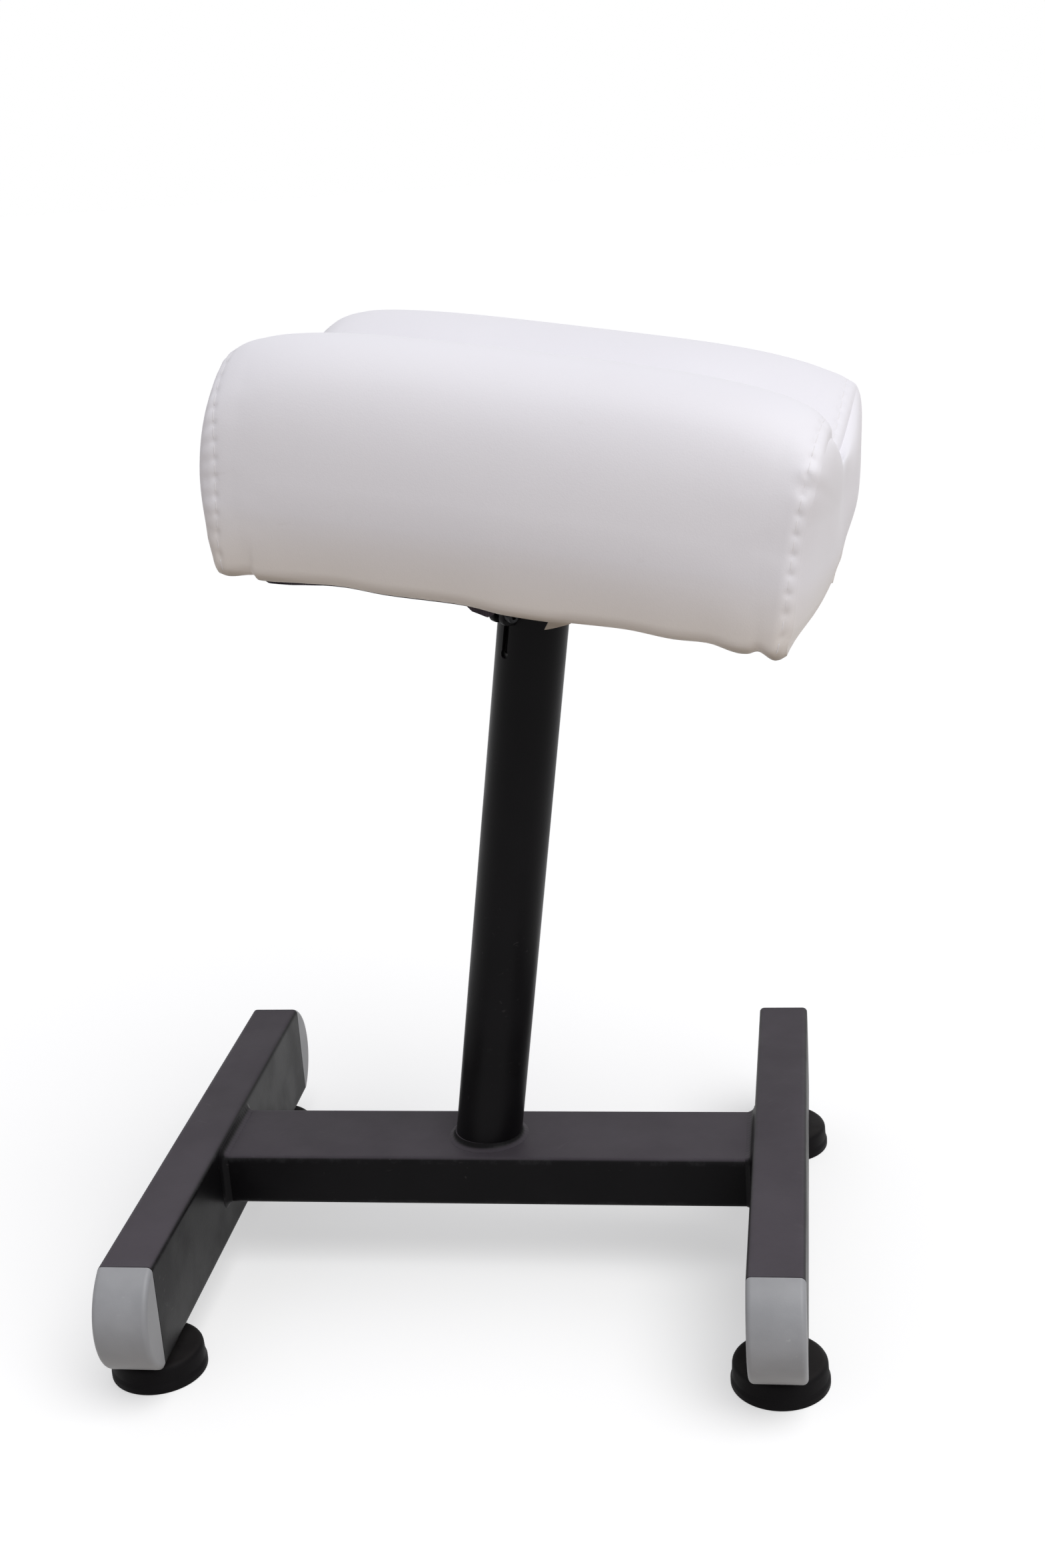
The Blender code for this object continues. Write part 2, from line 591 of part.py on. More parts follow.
def section(along, inset=0.0):
    """The cushion's cross-section, from the front edge to the rear one, as (depth, height over the edge).
    along runs from -1 to 1 between the seams. An inset makes the same shape inside the vinyl."""
    near_end = abs(along) ** CROWN_POWER
    fall = END_DROP * near_end
    half = CUSHION_DEPTH / 2 - inset
    swell = WALL_SWELL + (END_WALL_SWELL - WALL_SWELL) * near_end
    shoulder = SHOULDER_HEIGHT - fall - inset
    ridge = CUSHION_HEIGHT - fall - inset
    rear_half = [
        Vector((0, ridge - CHANNEL_DEPTH)),
        Vector((RIDGE_SPACING / 2, ridge)),
        Vector((half, shoulder)),
        Vector((half + swell, shoulder / 2)),
        Vector((half, 0)),
    ]
    points = [Vector((-p.x, p.y)) for p in reversed(rear_half)] + rear_half[1:]
    return smooth_line(points, SECTION_SPAN)


def seam_reach(height, along):
    """Where the section at along lies in the cushion's length, at a height over the bottom edge."""
    bow = END_BOW * sin(pi * min(max(height / CUSHION_HEIGHT, 0), 1))
    return along * (CUSHION_LENGTH / 2 + bow)


def loft(bm, rows, closed=False):
    """Quads between neighbouring rows of verts."""
    for first, second in zip(rows, rows[1:]):
        count = len(first) if closed else len(first) - 1
        for i in range(count):
            j = (i + 1) % len(first)
            bm.faces.new((first[i], first[j], second[j], second[i]))


def shell(obj, thickness):
    wall = obj.modifiers.new("vinyl", "SOLIDIFY")
    wall.thickness = thickness
    wall.offset = -1
    wall.use_even_offset = True


def wrap(head):
    """The vinyl over front, top and rear, turned in under the board."""
    bm = bmesh.new()
    rows = []
    for i in range(LENGTH_SPANS + 1):
        along = 2 * i / LENGTH_SPANS - 1
        line = section(along)
        hem = CUSHION_DEPTH / 2 - HEM
        line = [Vector((-hem, 0)), *line, Vector((hem, 0))]
        rows.append([bm.verts.new((seam_reach(p.y, along), p.x, CUSHION_BOTTOM + p.y)) for p in line])
    loft(bm, rows)
    bmesh.ops.recalc_face_normals(bm, faces=bm.faces)
    top = max(bm.faces, key=lambda face: face.calc_center_median().z)
    if top.normal.z < 0:
        bmesh.ops.reverse_faces(bm, faces=bm.faces)
    shell(place("cover_wrap", mesh_of("cover_wrap", bm), head, WHITE_VINYL), VINYL)


def end_rows(bm, line, sign, start, low, swell):
    """Rings from an end's outline to its middle, each further out."""
    middle = Vector((0, SHOULDER_HEIGHT / 2))
    rows = []
    for share in RING_SHARES:
        ring = []
        for p in line:
            q = middle + (p - middle) * share
            out = seam_reach(q.y, 1) + start + swell * (1 - share ** 2)
            ring.append(bm.verts.new((sign * out, q.x, low + q.y)))
        rows.append(ring)
    tip = seam_reach(middle.y, 1) + start + swell
    return rows, bm.verts.new((sign * tip, middle.x, low + middle.y))


def close_end(bm, rows, tip):
    loft(bm, rows, closed=True)
    last = rows[-1]
    for i, vert in enumerate(last):
        bm.faces.new((vert, last[(i + 1) % len(last)], tip))


def end_panel(name, sign, head):
    """A sewn end panel, swelling past its seam."""
    bm = bmesh.new()
    rows, tip = end_rows(bm, section(1), sign, VINYL + GAP, CUSHION_BOTTOM, END_SWELL)
    close_end(bm, rows, tip)
    bmesh.ops.recalc_face_normals(bm, faces=bm.faces)
    if min(bm.faces, key=lambda face: abs(face.calc_center_median().y)).normal.x * sign < 0:
        bmesh.ops.reverse_faces(bm, faces=bm.faces)
    shell(place(name, mesh_of(name, bm), head, WHITE_VINYL), VINYL)


def foam(head):
    """The foam on the board, inside the vinyl."""
    inset = VINYL + 2 * GAP
    floor = BOARD_TOP + GAP - CUSHION_BOTTOM
    bm = bmesh.new()
    rows = []
    for i in range(LENGTH_SPANS + 1):
        along = 2 * i / LENGTH_SPANS - 1
        line = [Vector((p.x, max(p.y, floor))) for p in section(along, inset)]
        rows.append([bm.verts.new((seam_reach(p.y, along), p.x, CUSHION_BOTTOM + p.y)) for p in line])
    loft(bm, rows, closed=True)
    for row, sign in ((rows[0], -1), (rows[-1], 1)):
        line = [Vector((vert.co.y, vert.co.z - CUSHION_BOTTOM)) for vert in row]
        rings, tip = end_rows(bm, line, sign, 0, CUSHION_BOTTOM, END_SWELL)
        close_end(bm, rings, tip)
    bmesh.ops.remove_doubles(bm, verts=bm.verts, dist=MERGE)
    bmesh.ops.recalc_face_normals(bm, faces=bm.faces)
    place("foam_core", mesh_of("foam_core", bm), head, FOAM)


def main():
    base = frame("footrest", location=(BASE_SHIFT, 0, 0))
    for side in SIDES:
        feet = {end: foot(side, end, base) for end in ENDS}
        leg(side, base, feet)
        bar_weld(side, base)
        for end in ENDS:
            end_cap(side, end, base)
    crossbar(base)
    axis = frame("post_axis", base, (0, 0, BAR_TOP), (0, POST_LEAN, 0))
    post(base, axis)
    clamp(axis)
    glide = frame("glide", axis)
    head = frame("head", glide, turn=(0, 0, HEAD_TURN))
    stem(glide, head)
    board_and_plate(head)
    foam(head)
    wrap(head)
    for name, sign in SIDES.items():
        end_panel(f"cover_end_{name}", sign, head)


main()
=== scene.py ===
"""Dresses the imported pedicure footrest: a black tube base on levelling feet, a clamped post, and a cushion
in sewn white vinyl on a stem. Metres, +Z up, the front towards -Y."""

import json
from contextlib import contextmanager
from math import atan2, ceil, cos, pi, radians, sin, sqrt, tan

import bmesh
import bpy
import numpy as np
from mathutils import Matrix, Vector, noise
from mathutils.geometry import interpolate_bezier

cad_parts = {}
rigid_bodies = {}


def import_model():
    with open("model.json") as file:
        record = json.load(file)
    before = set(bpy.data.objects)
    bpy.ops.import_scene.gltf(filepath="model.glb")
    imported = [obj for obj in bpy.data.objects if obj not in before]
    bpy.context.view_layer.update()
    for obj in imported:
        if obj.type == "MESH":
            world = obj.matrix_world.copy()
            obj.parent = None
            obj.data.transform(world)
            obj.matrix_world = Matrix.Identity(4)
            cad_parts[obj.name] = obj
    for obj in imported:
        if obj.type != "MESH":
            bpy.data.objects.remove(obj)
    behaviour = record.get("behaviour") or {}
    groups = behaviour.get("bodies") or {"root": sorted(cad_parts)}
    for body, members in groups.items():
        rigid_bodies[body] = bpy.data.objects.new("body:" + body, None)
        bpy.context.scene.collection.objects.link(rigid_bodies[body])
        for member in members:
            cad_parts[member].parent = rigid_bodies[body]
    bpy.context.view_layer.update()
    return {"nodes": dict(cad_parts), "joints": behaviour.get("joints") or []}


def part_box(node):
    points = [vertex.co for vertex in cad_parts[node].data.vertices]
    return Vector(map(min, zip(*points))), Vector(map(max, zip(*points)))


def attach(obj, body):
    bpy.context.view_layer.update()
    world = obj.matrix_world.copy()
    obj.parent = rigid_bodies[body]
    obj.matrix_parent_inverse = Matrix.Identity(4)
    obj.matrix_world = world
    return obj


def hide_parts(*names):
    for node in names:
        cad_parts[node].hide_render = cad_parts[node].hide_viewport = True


for start_up in list(bpy.data.objects):
    bpy.data.objects.remove(start_up)
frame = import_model()

# Fits
GAP = 0.0003                     # between pieces that touch
MERGE = 0.000005                 # points closer than this are one
SHARP = radians(38)

# Facets
ROUND = 96                       # round the post, stem and pads
SMALL_ROUND = 48
CORNER = 7                       # over a quarter of a tube's corner
CORNER_LEAD = 0.0014             # a point this far past each corner
CAP_STEPS = 36
POST_ROWS = 12                   # under the relief hole
RELIEF_ROWS = 13
SLIT_ROWS = 6
NUT_STEPS = 60
THREAD_ROWS = 6                  # in each turn of a thread
THREAD_ROUND = 32
CLAMP_ROUND = 24
WELD_FACETS = 8                  # over a bead's hollow
STITCH_FACETS = (9, 8)           # rings along a stitch, points round it
VINYL_FACET = 0.0012             # along the cushion's section
PRESS_FACET = 0.0045             # the same while it is being filled

# Base, from the frame
LEG_LOW, LEG_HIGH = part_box("right_leg")
LEFT_LOW, LEFT_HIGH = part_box("left_leg")
BAR_LOW, BAR_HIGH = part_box("crossbar")
TUBE_WIDTH = LEG_HIGH.x - LEG_LOW.x
TUBE_HEIGHT = LEG_HIGH.z - LEG_LOW.z
LEG_LENGTH = LEG_HIGH.y - LEG_LOW.y
LEG_X = (LEG_LOW.x + LEG_HIGH.x - LEFT_LOW.x - LEFT_HIGH.x) / 4
LEG_BOTTOM = LEG_LOW.z
TUBE_WALL = 0.002
TUBE_CORNER = 0.003
TUBE_EASE = 0.0004               # broken edge at a tube's ends
TUBE_WEAR = 0.004                # how far rubbed paint reaches from there
WELD_LEG = 0.0040
WELD_TOE = 0.00006
WELD_ROOT = 0.0009               # how far a bead reaches into what it joins
WELD_THROAT = 0.30               # share of its leg left between its toes
WELD_HOLLOW = 0.9                # radius there, as a share of its leg
WELD_STEP = 0.0007
WELD_PITCH = 0.0030
WELD_RIPPLE = 0.00004

# End caps
CAP_BULGE = LEG_LOW.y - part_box("cap_right_front")[0].y
CAP_FLAT = 0.003
CAP_WALL = 0.002
CAP_SPIGOT = 0.018
CAP_TOE = (0.3, -0.95)           # normal where the dome meets the flat

# Levelling feet
PAD_LOW, PAD_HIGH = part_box("foot_pad_right_front")
NUT_LOW, NUT_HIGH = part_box("lock_nut_right_front")
STUD_LOW, STUD_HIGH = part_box("foot_stud_right_front")
FOOT_Y = -(PAD_LOW.y + PAD_HIGH.y) / 2
PAD_LIP_RADIUS = (PAD_HIGH.x - PAD_LOW.x) / 2
PAD_RADIUS = 0.0252
PAD_HEIGHT = PAD_HIGH.z
PAD_LIP_HEIGHT = 0.0035
PAD_EDGE = 0.0034
PAD_TAPER = 0.0004
PAD_MOUTH = 0.0006               # eased edge of the stud's hole
LIP_RISE = 0.0022                # from the lip's edge to the wall
LIP_EASES = (0.0016, 0.0009, 0.0008)
SOLE_RIM = (0.004, 0.005)        # the sole's hollow starts and ends this far in
SOLE_DEPTH = 0.0008
SOLE_EASE = 0.0004
STUD_RADIUS = 0.005
STUD_PITCH = 0.0015
THREAD_SHARE = 0.6               # depth of a thread, as a share of its pitch
NUT_FLATS = 0.016
NUT_FACE = 0.96                  # radius of a nut's flat face, as a share of its flats
NUT_EASE = 0.0006
NUT_CHAMFER = radians(30)
NUT_SHARP = radians(22)
NUT_SEED = 3                     # how the nuts are turned

# Post and its clamp
POST_RADIUS = 0.019
POST_WALL = 0.0015
POST_LENGTH = 0.3259             # crossbar to rim, along the post
SLIT_WIDTH = 0.004
SLIT_LENGTH = 0.0334             # rim to the relief hole's centre
RELIEF_RADIUS = 0.0026
SLIT_AZIMUTH = radians(229)
POST_RINGS = (0.02, 0.002, 0.003)   # first over the foot, last under the hole, last under the rim
RIM_WEAR = 0.002
LUG_THICKNESS = 0.004
LUG_HEIGHT = 0.0125
LUG_TOP = 0.3220
LUG_END = 0.0269                 # from the post's axis
LUG_ROUND = 0.0042
LUG_EASE = 0.0007
LUG_ROOT = 0.0004                # into the post's face
LUG_WEAR = 0.6
CLAMP_SCREW_PLACE = 0.0233       # from the post's axis
CLAMP_SCREW_RADIUS = 0.002
CLAMP_HEAD_RADIUS = 0.0035
CLAMP_HEAD_HEIGHT = 0.004
CLAMP_HEAD_EASES = (0.0002, 0.0005)
CLAMP_OVERLAP = 0.0002           # shank into its head
KNURLS = 16
KNURL_DEPTH = 0.035              # share of the head's radius
KNURL_RIM = 0.97
CLAMP_SOCKET_FLATS = 0.003
CLAMP_SOCKET_DEPTH = 0.002
CLAMP_NUT_FLATS = 0.007
CLAMP_NUT_HEIGHT = 0.0032
CLAMP_TAIL = 0.0015
CLAMP_PITCH = 0.0007

# Stem and plate, along the post from the crossbar
HEAD_TURN = radians(-8)
STEM_RADIUS = 0.0150
STEM_WALL = 0.002
STEM_BOTTOM = 0.1356
STEM_TOP = 0.3308
STEM_EASES = (0.0003, 0.0006, 0.0004)   # top, bottom, inside the bottom
STEM_WELD_LEG = 0.0028
PLATE_SIDE = 0.120
PLATE_CORNER = 0.010
PLATE_EASE = 0.0006
PLATE_BOTTOM = STEM_TOP + GAP
PLATE_THICKNESS = 0.004
PLATE_TOP = PLATE_BOTTOM + PLATE_THICKNESS
SCREW_INSET = 0.012
SCREW_RADIUS = 0.003
SCREW_HEAD_RADIUS = 0.0055
SCREW_HEAD_HEIGHT = 0.0034
SCREW_HEAD_EASES = (0.0003, 0.0014)
SCREW_HEAD_TAPER = 0.92
SCREW_TIP_EASE = 0.0005
SCREW_TAIL = 0.3490
RECESS_LENGTH = 0.0064
RECESS_WIDTH = 0.0012
RECESS_DEPTH = 0.004
RECESS_EASE = 0.0001
SCREW_SEED = 8                   # how the screws are turned

# Cushion: the outside of the vinyl
CUSHION_BOTTOM = 0.3364          # bottom edge, along the post from the crossbar
CUSHION_DEPTH = 0.184
CUSHION_HEIGHT = 0.1205
SHOULDER_DROP = 0.0205
SHOULDER_HEIGHT = CUSHION_HEIGHT - SHOULDER_DROP
RIDGE_SPACING = 0.123
CHANNEL_DEPTH = 0.024
WALL_SWELL = 0.0085
END_WALL_SWELL = 0.0042
# how far a ridge comes down to its ends, the share more at the right; the same for its lip beside the seam
FRONT_FALL = (0.0126, -0.06, 0.0085, 0.20)
REAR_FALL = (0.0098, 0.23, 0.0078, -0.65)
SHOULDER_FALL = 0.0145
LEFT_FALL = 0.006                # further at the left end
LEFT_IN = 0.0015
CROWN_POWER = 5
FALL_POWER = 4
LIP_POWER = 16
END_SWELL = 0.006
END_SLACK = 1.0                  # share of the swell missing low down at the rear
END_FULL = 0.75                  # share more half-way up at the rear
END_REAR = 0.050                 # depth at which the rear lobe is whole
SLACK_HEIGHT = 0.050
FULL_HEIGHT = 0.058
FULL_SPREAD = 0.024
END_VALLEY = 0.0028              # between an end panel's two lobes
VALLEY_WIDTH = 0.022
VALLEY_START = 0.02
VALLEY_RISE = 0.06
END_TURN = 0.0025                # the seam's turn, before an end panel swells
END_TURN_SHARE = 0.055           # of the way to a panel's middle
END_TURN_LOW = 0.3               # share of that turn at the lower edge
END_TURN_RISE = 0.03
LOW_BOW = 0.0028                 # an end panel's lower edge, outwards
LOW_LIFT = 0.0055                # and upwards
LIFT_POWER = 6
END_FOLD = 0.0020                # radius of the fold under the board
FOLD_STEPS = 5
FOLD_FADE = 0.15                 # share of an edge over which it comes in
HEM_STEPS = 6
HEM_RAMP = 0.008                 # width of its rise over the wrap's hem
HEM_OVER = 0.0011
END_HEM = 0.126                  # from the cushion's middle to the hem's edge
END_OVAL = (0.080, 0.050)
END_RINGS = 32
RING_POWER = 1.6                 # how much closer the rings lie near the seam
END_LOW = 48                     # points along an end panel's lower edge
VINYL = 0.001
HEM = 0.018
EDGE_ROLL = 0.007                # soft lower edge
EDGE_LEAN = 0.0012
UNDER_START = 0.004              # where the vinyl starts to turn under, over the bottom edge; a painted warm bounce light is full below this and fades out over UNDER_FADE
UNDER_FADE = 0.030
# painted shade on what hangs below the bottom edge: how much, and the drop over which it comes in
UNDER_PAINTED_SHADE = 0.8
UNDER_DROP = 0.006
FOAM_INSET = 0.0048
FOAM_FACET = 0.006
FOAM_COLUMNS = 40
FOAM_FLOOR = 0.0140              # board's top over the bottom edge

# Seams: height over the bottom edge, and reach from the cushion's middle
SEAM_LINES = {
    -1: [(0.0, 0.1435), (0.015, 0.1472), (0.045, 0.1523), (0.084, 0.1520), (0.110, 0.1530)],
    1: [(0.0, 0.1455), (0.012, 0.1475), (0.060, 0.1480), (0.086, 0.1510), (0.110, 0.1530)],
}
SEAM_REACH = 0.149               # about their middle
REAR_PULL = 0.007                # how much less at the rear ridge
ROLL_DEPTHS = {-1: 0.0022, 1: 0.0042}   # how far the wrap turns in towards a seam
ROLL_REACH = 0.009
ROLL_TOP = 0.15                  # share of that on the ridges

# Filling
CLOTH = {
    "quality": 6, "mass": 0.4, "tension_stiffness": 30, "compression_stiffness": 30, "shear_stiffness": 12,
    "bending_stiffness": 1.5, "use_pressure": True, "uniform_pressure_force": 4.0,
}
PRESS_FRAMES = 20
PRESS_INSET = 0.0008             # the wrap starts this much smaller
PRESS_CAP = 0.004
PRESS_COLUMNS = 64
PRESS_HEM = 1.5                  # stretches of the section that the hems hold
PRESS_SEAM = 8                   # one part in this many is held back by each seam
PRESS_SOFTEN = 8                 # rounds that take out creases

# Sewing
STITCH_PITCH = 0.0085
STITCH_START = 16                # rows of the wrap's grid before the first stitch
STITCH_SHARE = 0.84              # of the pitch that shows as thread
THREAD_WIDTH = 0.00052
THREAD_RISE = 0.00011
STITCH_DIP = 0.000975            # how far its ends go into their holes
SEAM_STEP = 0.0009               # between the wrap's columns near a seam
SEAM_DEPTH = 0.0006
SEAM_WIDTH = 0.0012
STRIP_PUFF = 0.00035
PUFF_LEVELS = (0.55, 0.45)       # even, and how much less at the holes
FURROW_DEPTH = 0.00008
FURROW_WIDTH = 0.0016
HOLE_DEPTH = 0.00065
HOLE_WIDTH = 0.0014
HOLE_LENGTH = 0.0016
GATHER_DEPTH = 0.00035
GATHER_REACH = 0.022
GATHER_SIZE = 0.012
GATHER_START = 0.004
FINE_REACH = 0.027               # close columns this far from a seam
COLUMN_STEP = 0.004              # between the columns farther off
COLUMN_GROWTH = 1.25

# Topstitch: height over the bottom edge, and inset from the seam
STITCH_LINES = {
    -1: [(0.0, 0.0050), (0.045, 0.0098), (0.090, 0.0045), (0.115, 0.0060)],
    1: [(0.0, 0.0048), (0.050, 0.0043), (0.090, 0.0058), (0.115, 0.0065)],
}

# Puckers at the front of a seam: inset, height, how far out, half-width, half-height
PUCKERS = {
    -1: [],
    1: [(0.0035, 0.0785, -0.0014, 0.0050, 0.0036), (0.0045, 0.0855, 0.0009, 0.0060, 0.0032)],
}

# How far the front lower edge hangs under the board, along the cushion from its middle
FRONT_HANG = [
    (-0.146, 0.0022), (-0.138, 0.0036), (-0.126, 0.0013), (-0.1237, 0.0014), (-0.1217, 0.0034),
    (-0.096, 0.0014), (-0.078, 0.0002), (-0.056, 0.0010), (-0.020, 0.0002), (-0.008, 0.0008),
    (0.004, 0.0022), (0.028, 0.0024), (0.040, 0.0012), (0.068, 0.0002), (0.090, 0.0015),
    (0.108, 0.0008), (0.121, 0.0033), (0.127, 0.0031), (0.132, 0.0012), (0.139, 0.0042),
    (0.1425, 0.0036), (0.146, 0.0010),
]
HANG_LEAST = 0.0020
HANG_FADE = 0.024                # height over which the hang fades

# A fold of the hem that shows before the post, from left to right: its top, its bottom and its drop
TUCK = ((0.0288, 0.0392), (0.0255, 0.0392), (0.0055, 0.0009))
TUCK_DEPTH = -0.0815
TUCK_LEAN = 0.8
TUCK_ROOT = 0.0012
TUCK_STEPS = 13
HANG_STEPS = 7                   # down a tuck or the lining's edge

# The lining's edge, a dark strip that also stands for painted shade under the vinyl's front: along the
# cushion, and how far it hangs under the vinyl
LINING_EDGE = [
    (-0.1235, 0.0), (-0.1190, 0.0024), (-0.1060, 0.0026), (-0.0900, 0.0019), (-0.0140, 0.0019),
    (-0.0120, 0.0038), (-0.0035, 0.0050), (-0.0005, 0.0028),
]
LINING_EDGE_DEPTH = -0.0785
LINING_EDGE_STEPS = 90

# Underside
LINING_LENGTH = 0.264
LINING_WIDTH = 0.164
LINING_CORNER = 0.012
LINING_BOTTOM = PLATE_TOP + GAP
LINING = 0.0007
LINING_SAG = 0.0022
SAG_REACH = 0.02                 # from the plate and from the edges
SAG_SPREAD = 55                  # ripples to a metre
SAG_LEVELS = (0.6, 0.8)
LINING_ROWS = 43
LINING_COLUMNS = 67
STAPLE_PITCH = 0.019
STAPLE_CROWN = 0.0095
STAPLE_WIRE = 0.0007
STAPLE_LEG = 0.0012
STAPLE_BEND = 0.0005
STAPLE_INSET = 0.005

# Camera, from the photograph
IMAGE_HEIGHT = 2352
FOCAL_PIXELS = 3018.7
SENSOR = 36.0
CAMERA_PLACE = (0.18354, -1.02928, 0.63331)
CAMERA_YAW = -0.1567
CAMERA_PITCH = 0.3195
CAMERA_ROLL = 0.0704

# Light
FLOOR_REACH = 20
FLOOR_LIT = (0.45, 0.40, 0.345, 1)
FLOOR_SEEN = (0.60, 0.60, 0.595, 1)
FLOOR_GLOW = 0.475
SKY_LIT = (0.470, 0.470, 0.495, 1)
WHITE = (1, 1, 1, 1)
# each lamp's kind, place, target and settings
LAMPS = {
    "overhead": ("SUN", (0.38, -0.30, 1.0), (0, 0, 0), {"energy": 1.45, "angle": radians(45)}),
    "window": ("AREA", (0.80, -0.90, 0.90), (0, 0, 0.3), {"energy": 3, "size": 0.7}),
}

SIDES = {"left": -1, "right": 1}
ENDS = {"front": -1, "rear": 1}
CORNERS = ((-1, -1), (1, -1), (1, 1), (-1, 1))

# Frames
SWIVEL = next(joint for joint in frame["joints"] if joint["name"] == "swivel")
POST_FOOT = Vector(SWIVEL["pos_m"])
POST_LEAN = atan2(SWIVEL["axis"][0], SWIVEL["axis"][2])
BASE_FRAME = Matrix.Translation((POST_FOOT.x, 0, 0))
POST_FRAME = Matrix.Translation(POST_FOOT) @ Matrix.Rotation(POST_LEAN, 4, "Y")
HEAD_FRAME = POST_FRAME @ Matrix.Rotation(HEAD_TURN, 4, "Z")
SLIT_FRAME = POST_FRAME @ Matrix.Rotation(SLIT_AZIMUTH, 4, "Z")
SCREW_FRAME = SLIT_FRAME @ Matrix.Translation((CLAMP_SCREW_PLACE, 0, LUG_TOP - LUG_HEIGHT / 2))
SCREW_FRAME = SCREW_FRAME @ Matrix.Rotation(pi / 2, 4, "X")


# Nodes

def add(tree, kind, sockets=None, **settings):
    """A node with its settings, and its sockets set to values or linked from other sockets."""
    made = tree.nodes.new(kind)
    for name, value in settings.items():
        setattr(made, name, value)
    for name, value in (sockets or {}).items():
        if isinstance(value, bpy.types.NodeSocket):
            tree.links.new(value, made.inputs[name])
        else:
            made.inputs[name].default_value = value
    return made


def output(tree, kind, sockets=None, **settings):
    """The first output of a new node."""
    return add(tree, kind, sockets, **settings).outputs[0]


def math(tree, operation, first, second=0.0, third=0.0, clamp=False):
    sockets = {0: first, 1: second, 2: third}
    return output(tree, "ShaderNodeMath", sockets, operation=operation, use_clamp=clamp)


def ramp(tree, value, low, high, to_low=0.0, to_high=1.0):
    """A value moved smoothly from one range to another."""
    sockets = {"Value": value, "From Min": low, "From Max": high, "To Min": to_low, "To Max": to_high}
    return output(tree, "ShaderNodeMapRange", sockets, interpolation_type="SMOOTHSTEP")


def spread(tree, value, low, high):
    """A value from 0 to 1 moved smoothly to another range."""
    return ramp(tree, value, 0.0, 1.0, low, high)


def blend(tree, factor, first, second):
    """One colour over another."""
    mix = add(tree, "ShaderNodeMix", {0: factor, 6: first, 7: second}, data_type="RGBA")
    return mix.outputs[2]


def own_place(tree):
    return add(tree, "ShaderNodeTexCoord").outputs["Object"]


def vector(tree, operation, first, second):
    return output(tree, "ShaderNodeVectorMath", {0: first, 1: second}, operation=operation)


def clouds(tree, where, scale, detail=2.0, roughness=0.5):
    """Soft noise, with about as many spots to a metre as its scale."""
    sockets = {"Vector": where, "Scale": scale, "Detail": detail, "Roughness": roughness}
    return add(tree, "ShaderNodeTexNoise", sockets).outputs["Fac"]


def effect_group(name, inputs, outputs):
    """An empty shader group with named sockets. Returns it, its inner ends and the object's own place."""
    tree = bpy.data.node_groups.new(name, "ShaderNodeTree")
    for label, value in inputs.items():
        socket = tree.interface.new_socket(label, in_out="INPUT", socket_type="NodeSocketFloat")
        socket.default_value = value
    for label in outputs:
        tree.interface.new_socket(label, in_out="OUTPUT", socket_type="NodeSocketFloat")
    return tree, add(tree, "NodeGroupInput").outputs, add(tree, "NodeGroupOutput").inputs, own_place(tree)


def grain_effect():
    """Fine grain to feed a bump, and a slow mottle to vary colour and gloss."""
    inputs = {"Fine": 1200.0, "Slow": 30.0}
    tree, given, out, where = effect_group("surface_grain", inputs, ["Height", "Mottle"])
    tree.links.new(clouds(tree, where, given["Fine"], 3.0), out["Height"])
    tree.links.new(ramp(tree, clouds(tree, where, given["Slow"], 4.0), 0.3, 0.7), out["Mottle"])
    return tree


def dust_and_sheen_effect():
    """Dust that has settled on what faces up; on the black paint the same mask also paints a sheen on the
    upward faces.
    """
    inputs = {"Amount": 0.1, "Patches": 40.0}
    tree, given, out, where = effect_group("settled_dust", inputs, ["Mask"])
    normal = add(tree, "ShaderNodeSeparateXYZ", {0: add(tree, "ShaderNodeNewGeometry").outputs["Normal"]})
    upward = ramp(tree, normal.outputs["Z"], 0.55, 0.98)
    patches = clouds(tree, where, given["Patches"], 6.0, 0.65)
    lying = math(tree, "MULTIPLY", upward, ramp(tree, patches, 0.2, 0.8, 0.65, 1.0))
    tree.links.new(math(tree, "MULTIPLY", lying, given["Amount"]), out["Mask"])
    return tree


def scuff_effect():
    """Short fine scratches, in two crossing directions."""
    inputs = {"Amount": 0.5, "Length": 25.0}
    tree, given, out, where = effect_group("fine_scuffs", inputs, ["Mask"])
    masks = []
    for turn in (radians(24), radians(-57)):
        askew = output(tree, "ShaderNodeMapping", {"Vector": where, "Rotation": (0.2, 0.1, turn)})
        narrow = vector(tree, "MULTIPLY", askew, (1, 22, 22))
        masks.append(ramp(tree, clouds(tree, narrow, given["Length"], 1.0), 0.70, 0.78))
    both = math(tree, "MAXIMUM", *masks)
    rare = ramp(tree, clouds(tree, where, 1 / 0.035), 0.5, 0.68)
    tree.links.new(math(tree, "MULTIPLY", math(tree, "MULTIPLY", both, rare), given["Amount"]), out["Mask"])
    return tree


def edge_effect():
    """Wear along the edges that a mesh marks in its attribute edge."""
    inputs = {"Amount": 0.5, "Patches": 60.0}
    tree, given, out, where = effect_group("rubbed_edges", inputs, ["Mask"])
    edge = add(tree, "ShaderNodeAttribute", attribute_name="edge").outputs["Fac"]
    patches = ramp(tree, clouds(tree, where, given["Patches"], 5.0, 0.7), 0.48, 0.66)
    worn = math(tree, "MULTIPLY", math(tree, "POWER", edge, 2.0), patches)
    tree.links.new(math(tree, "MULTIPLY", worn, given["Amount"]), out["Mask"])
    return tree


GRAIN = grain_effect()
DUST_AND_SHEEN = dust_and_sheen_effect()
SCUFFS = scuff_effect()
EDGES = edge_effect()


def effect(tree, group, *values):
    """A shared effect placed in a material, with its inputs set in turn."""
    made = add(tree, "ShaderNodeGroup", node_tree=group)
    for socket, value in zip(made.inputs, values):
        socket.default_value = value
    return made.outputs


# Finishes

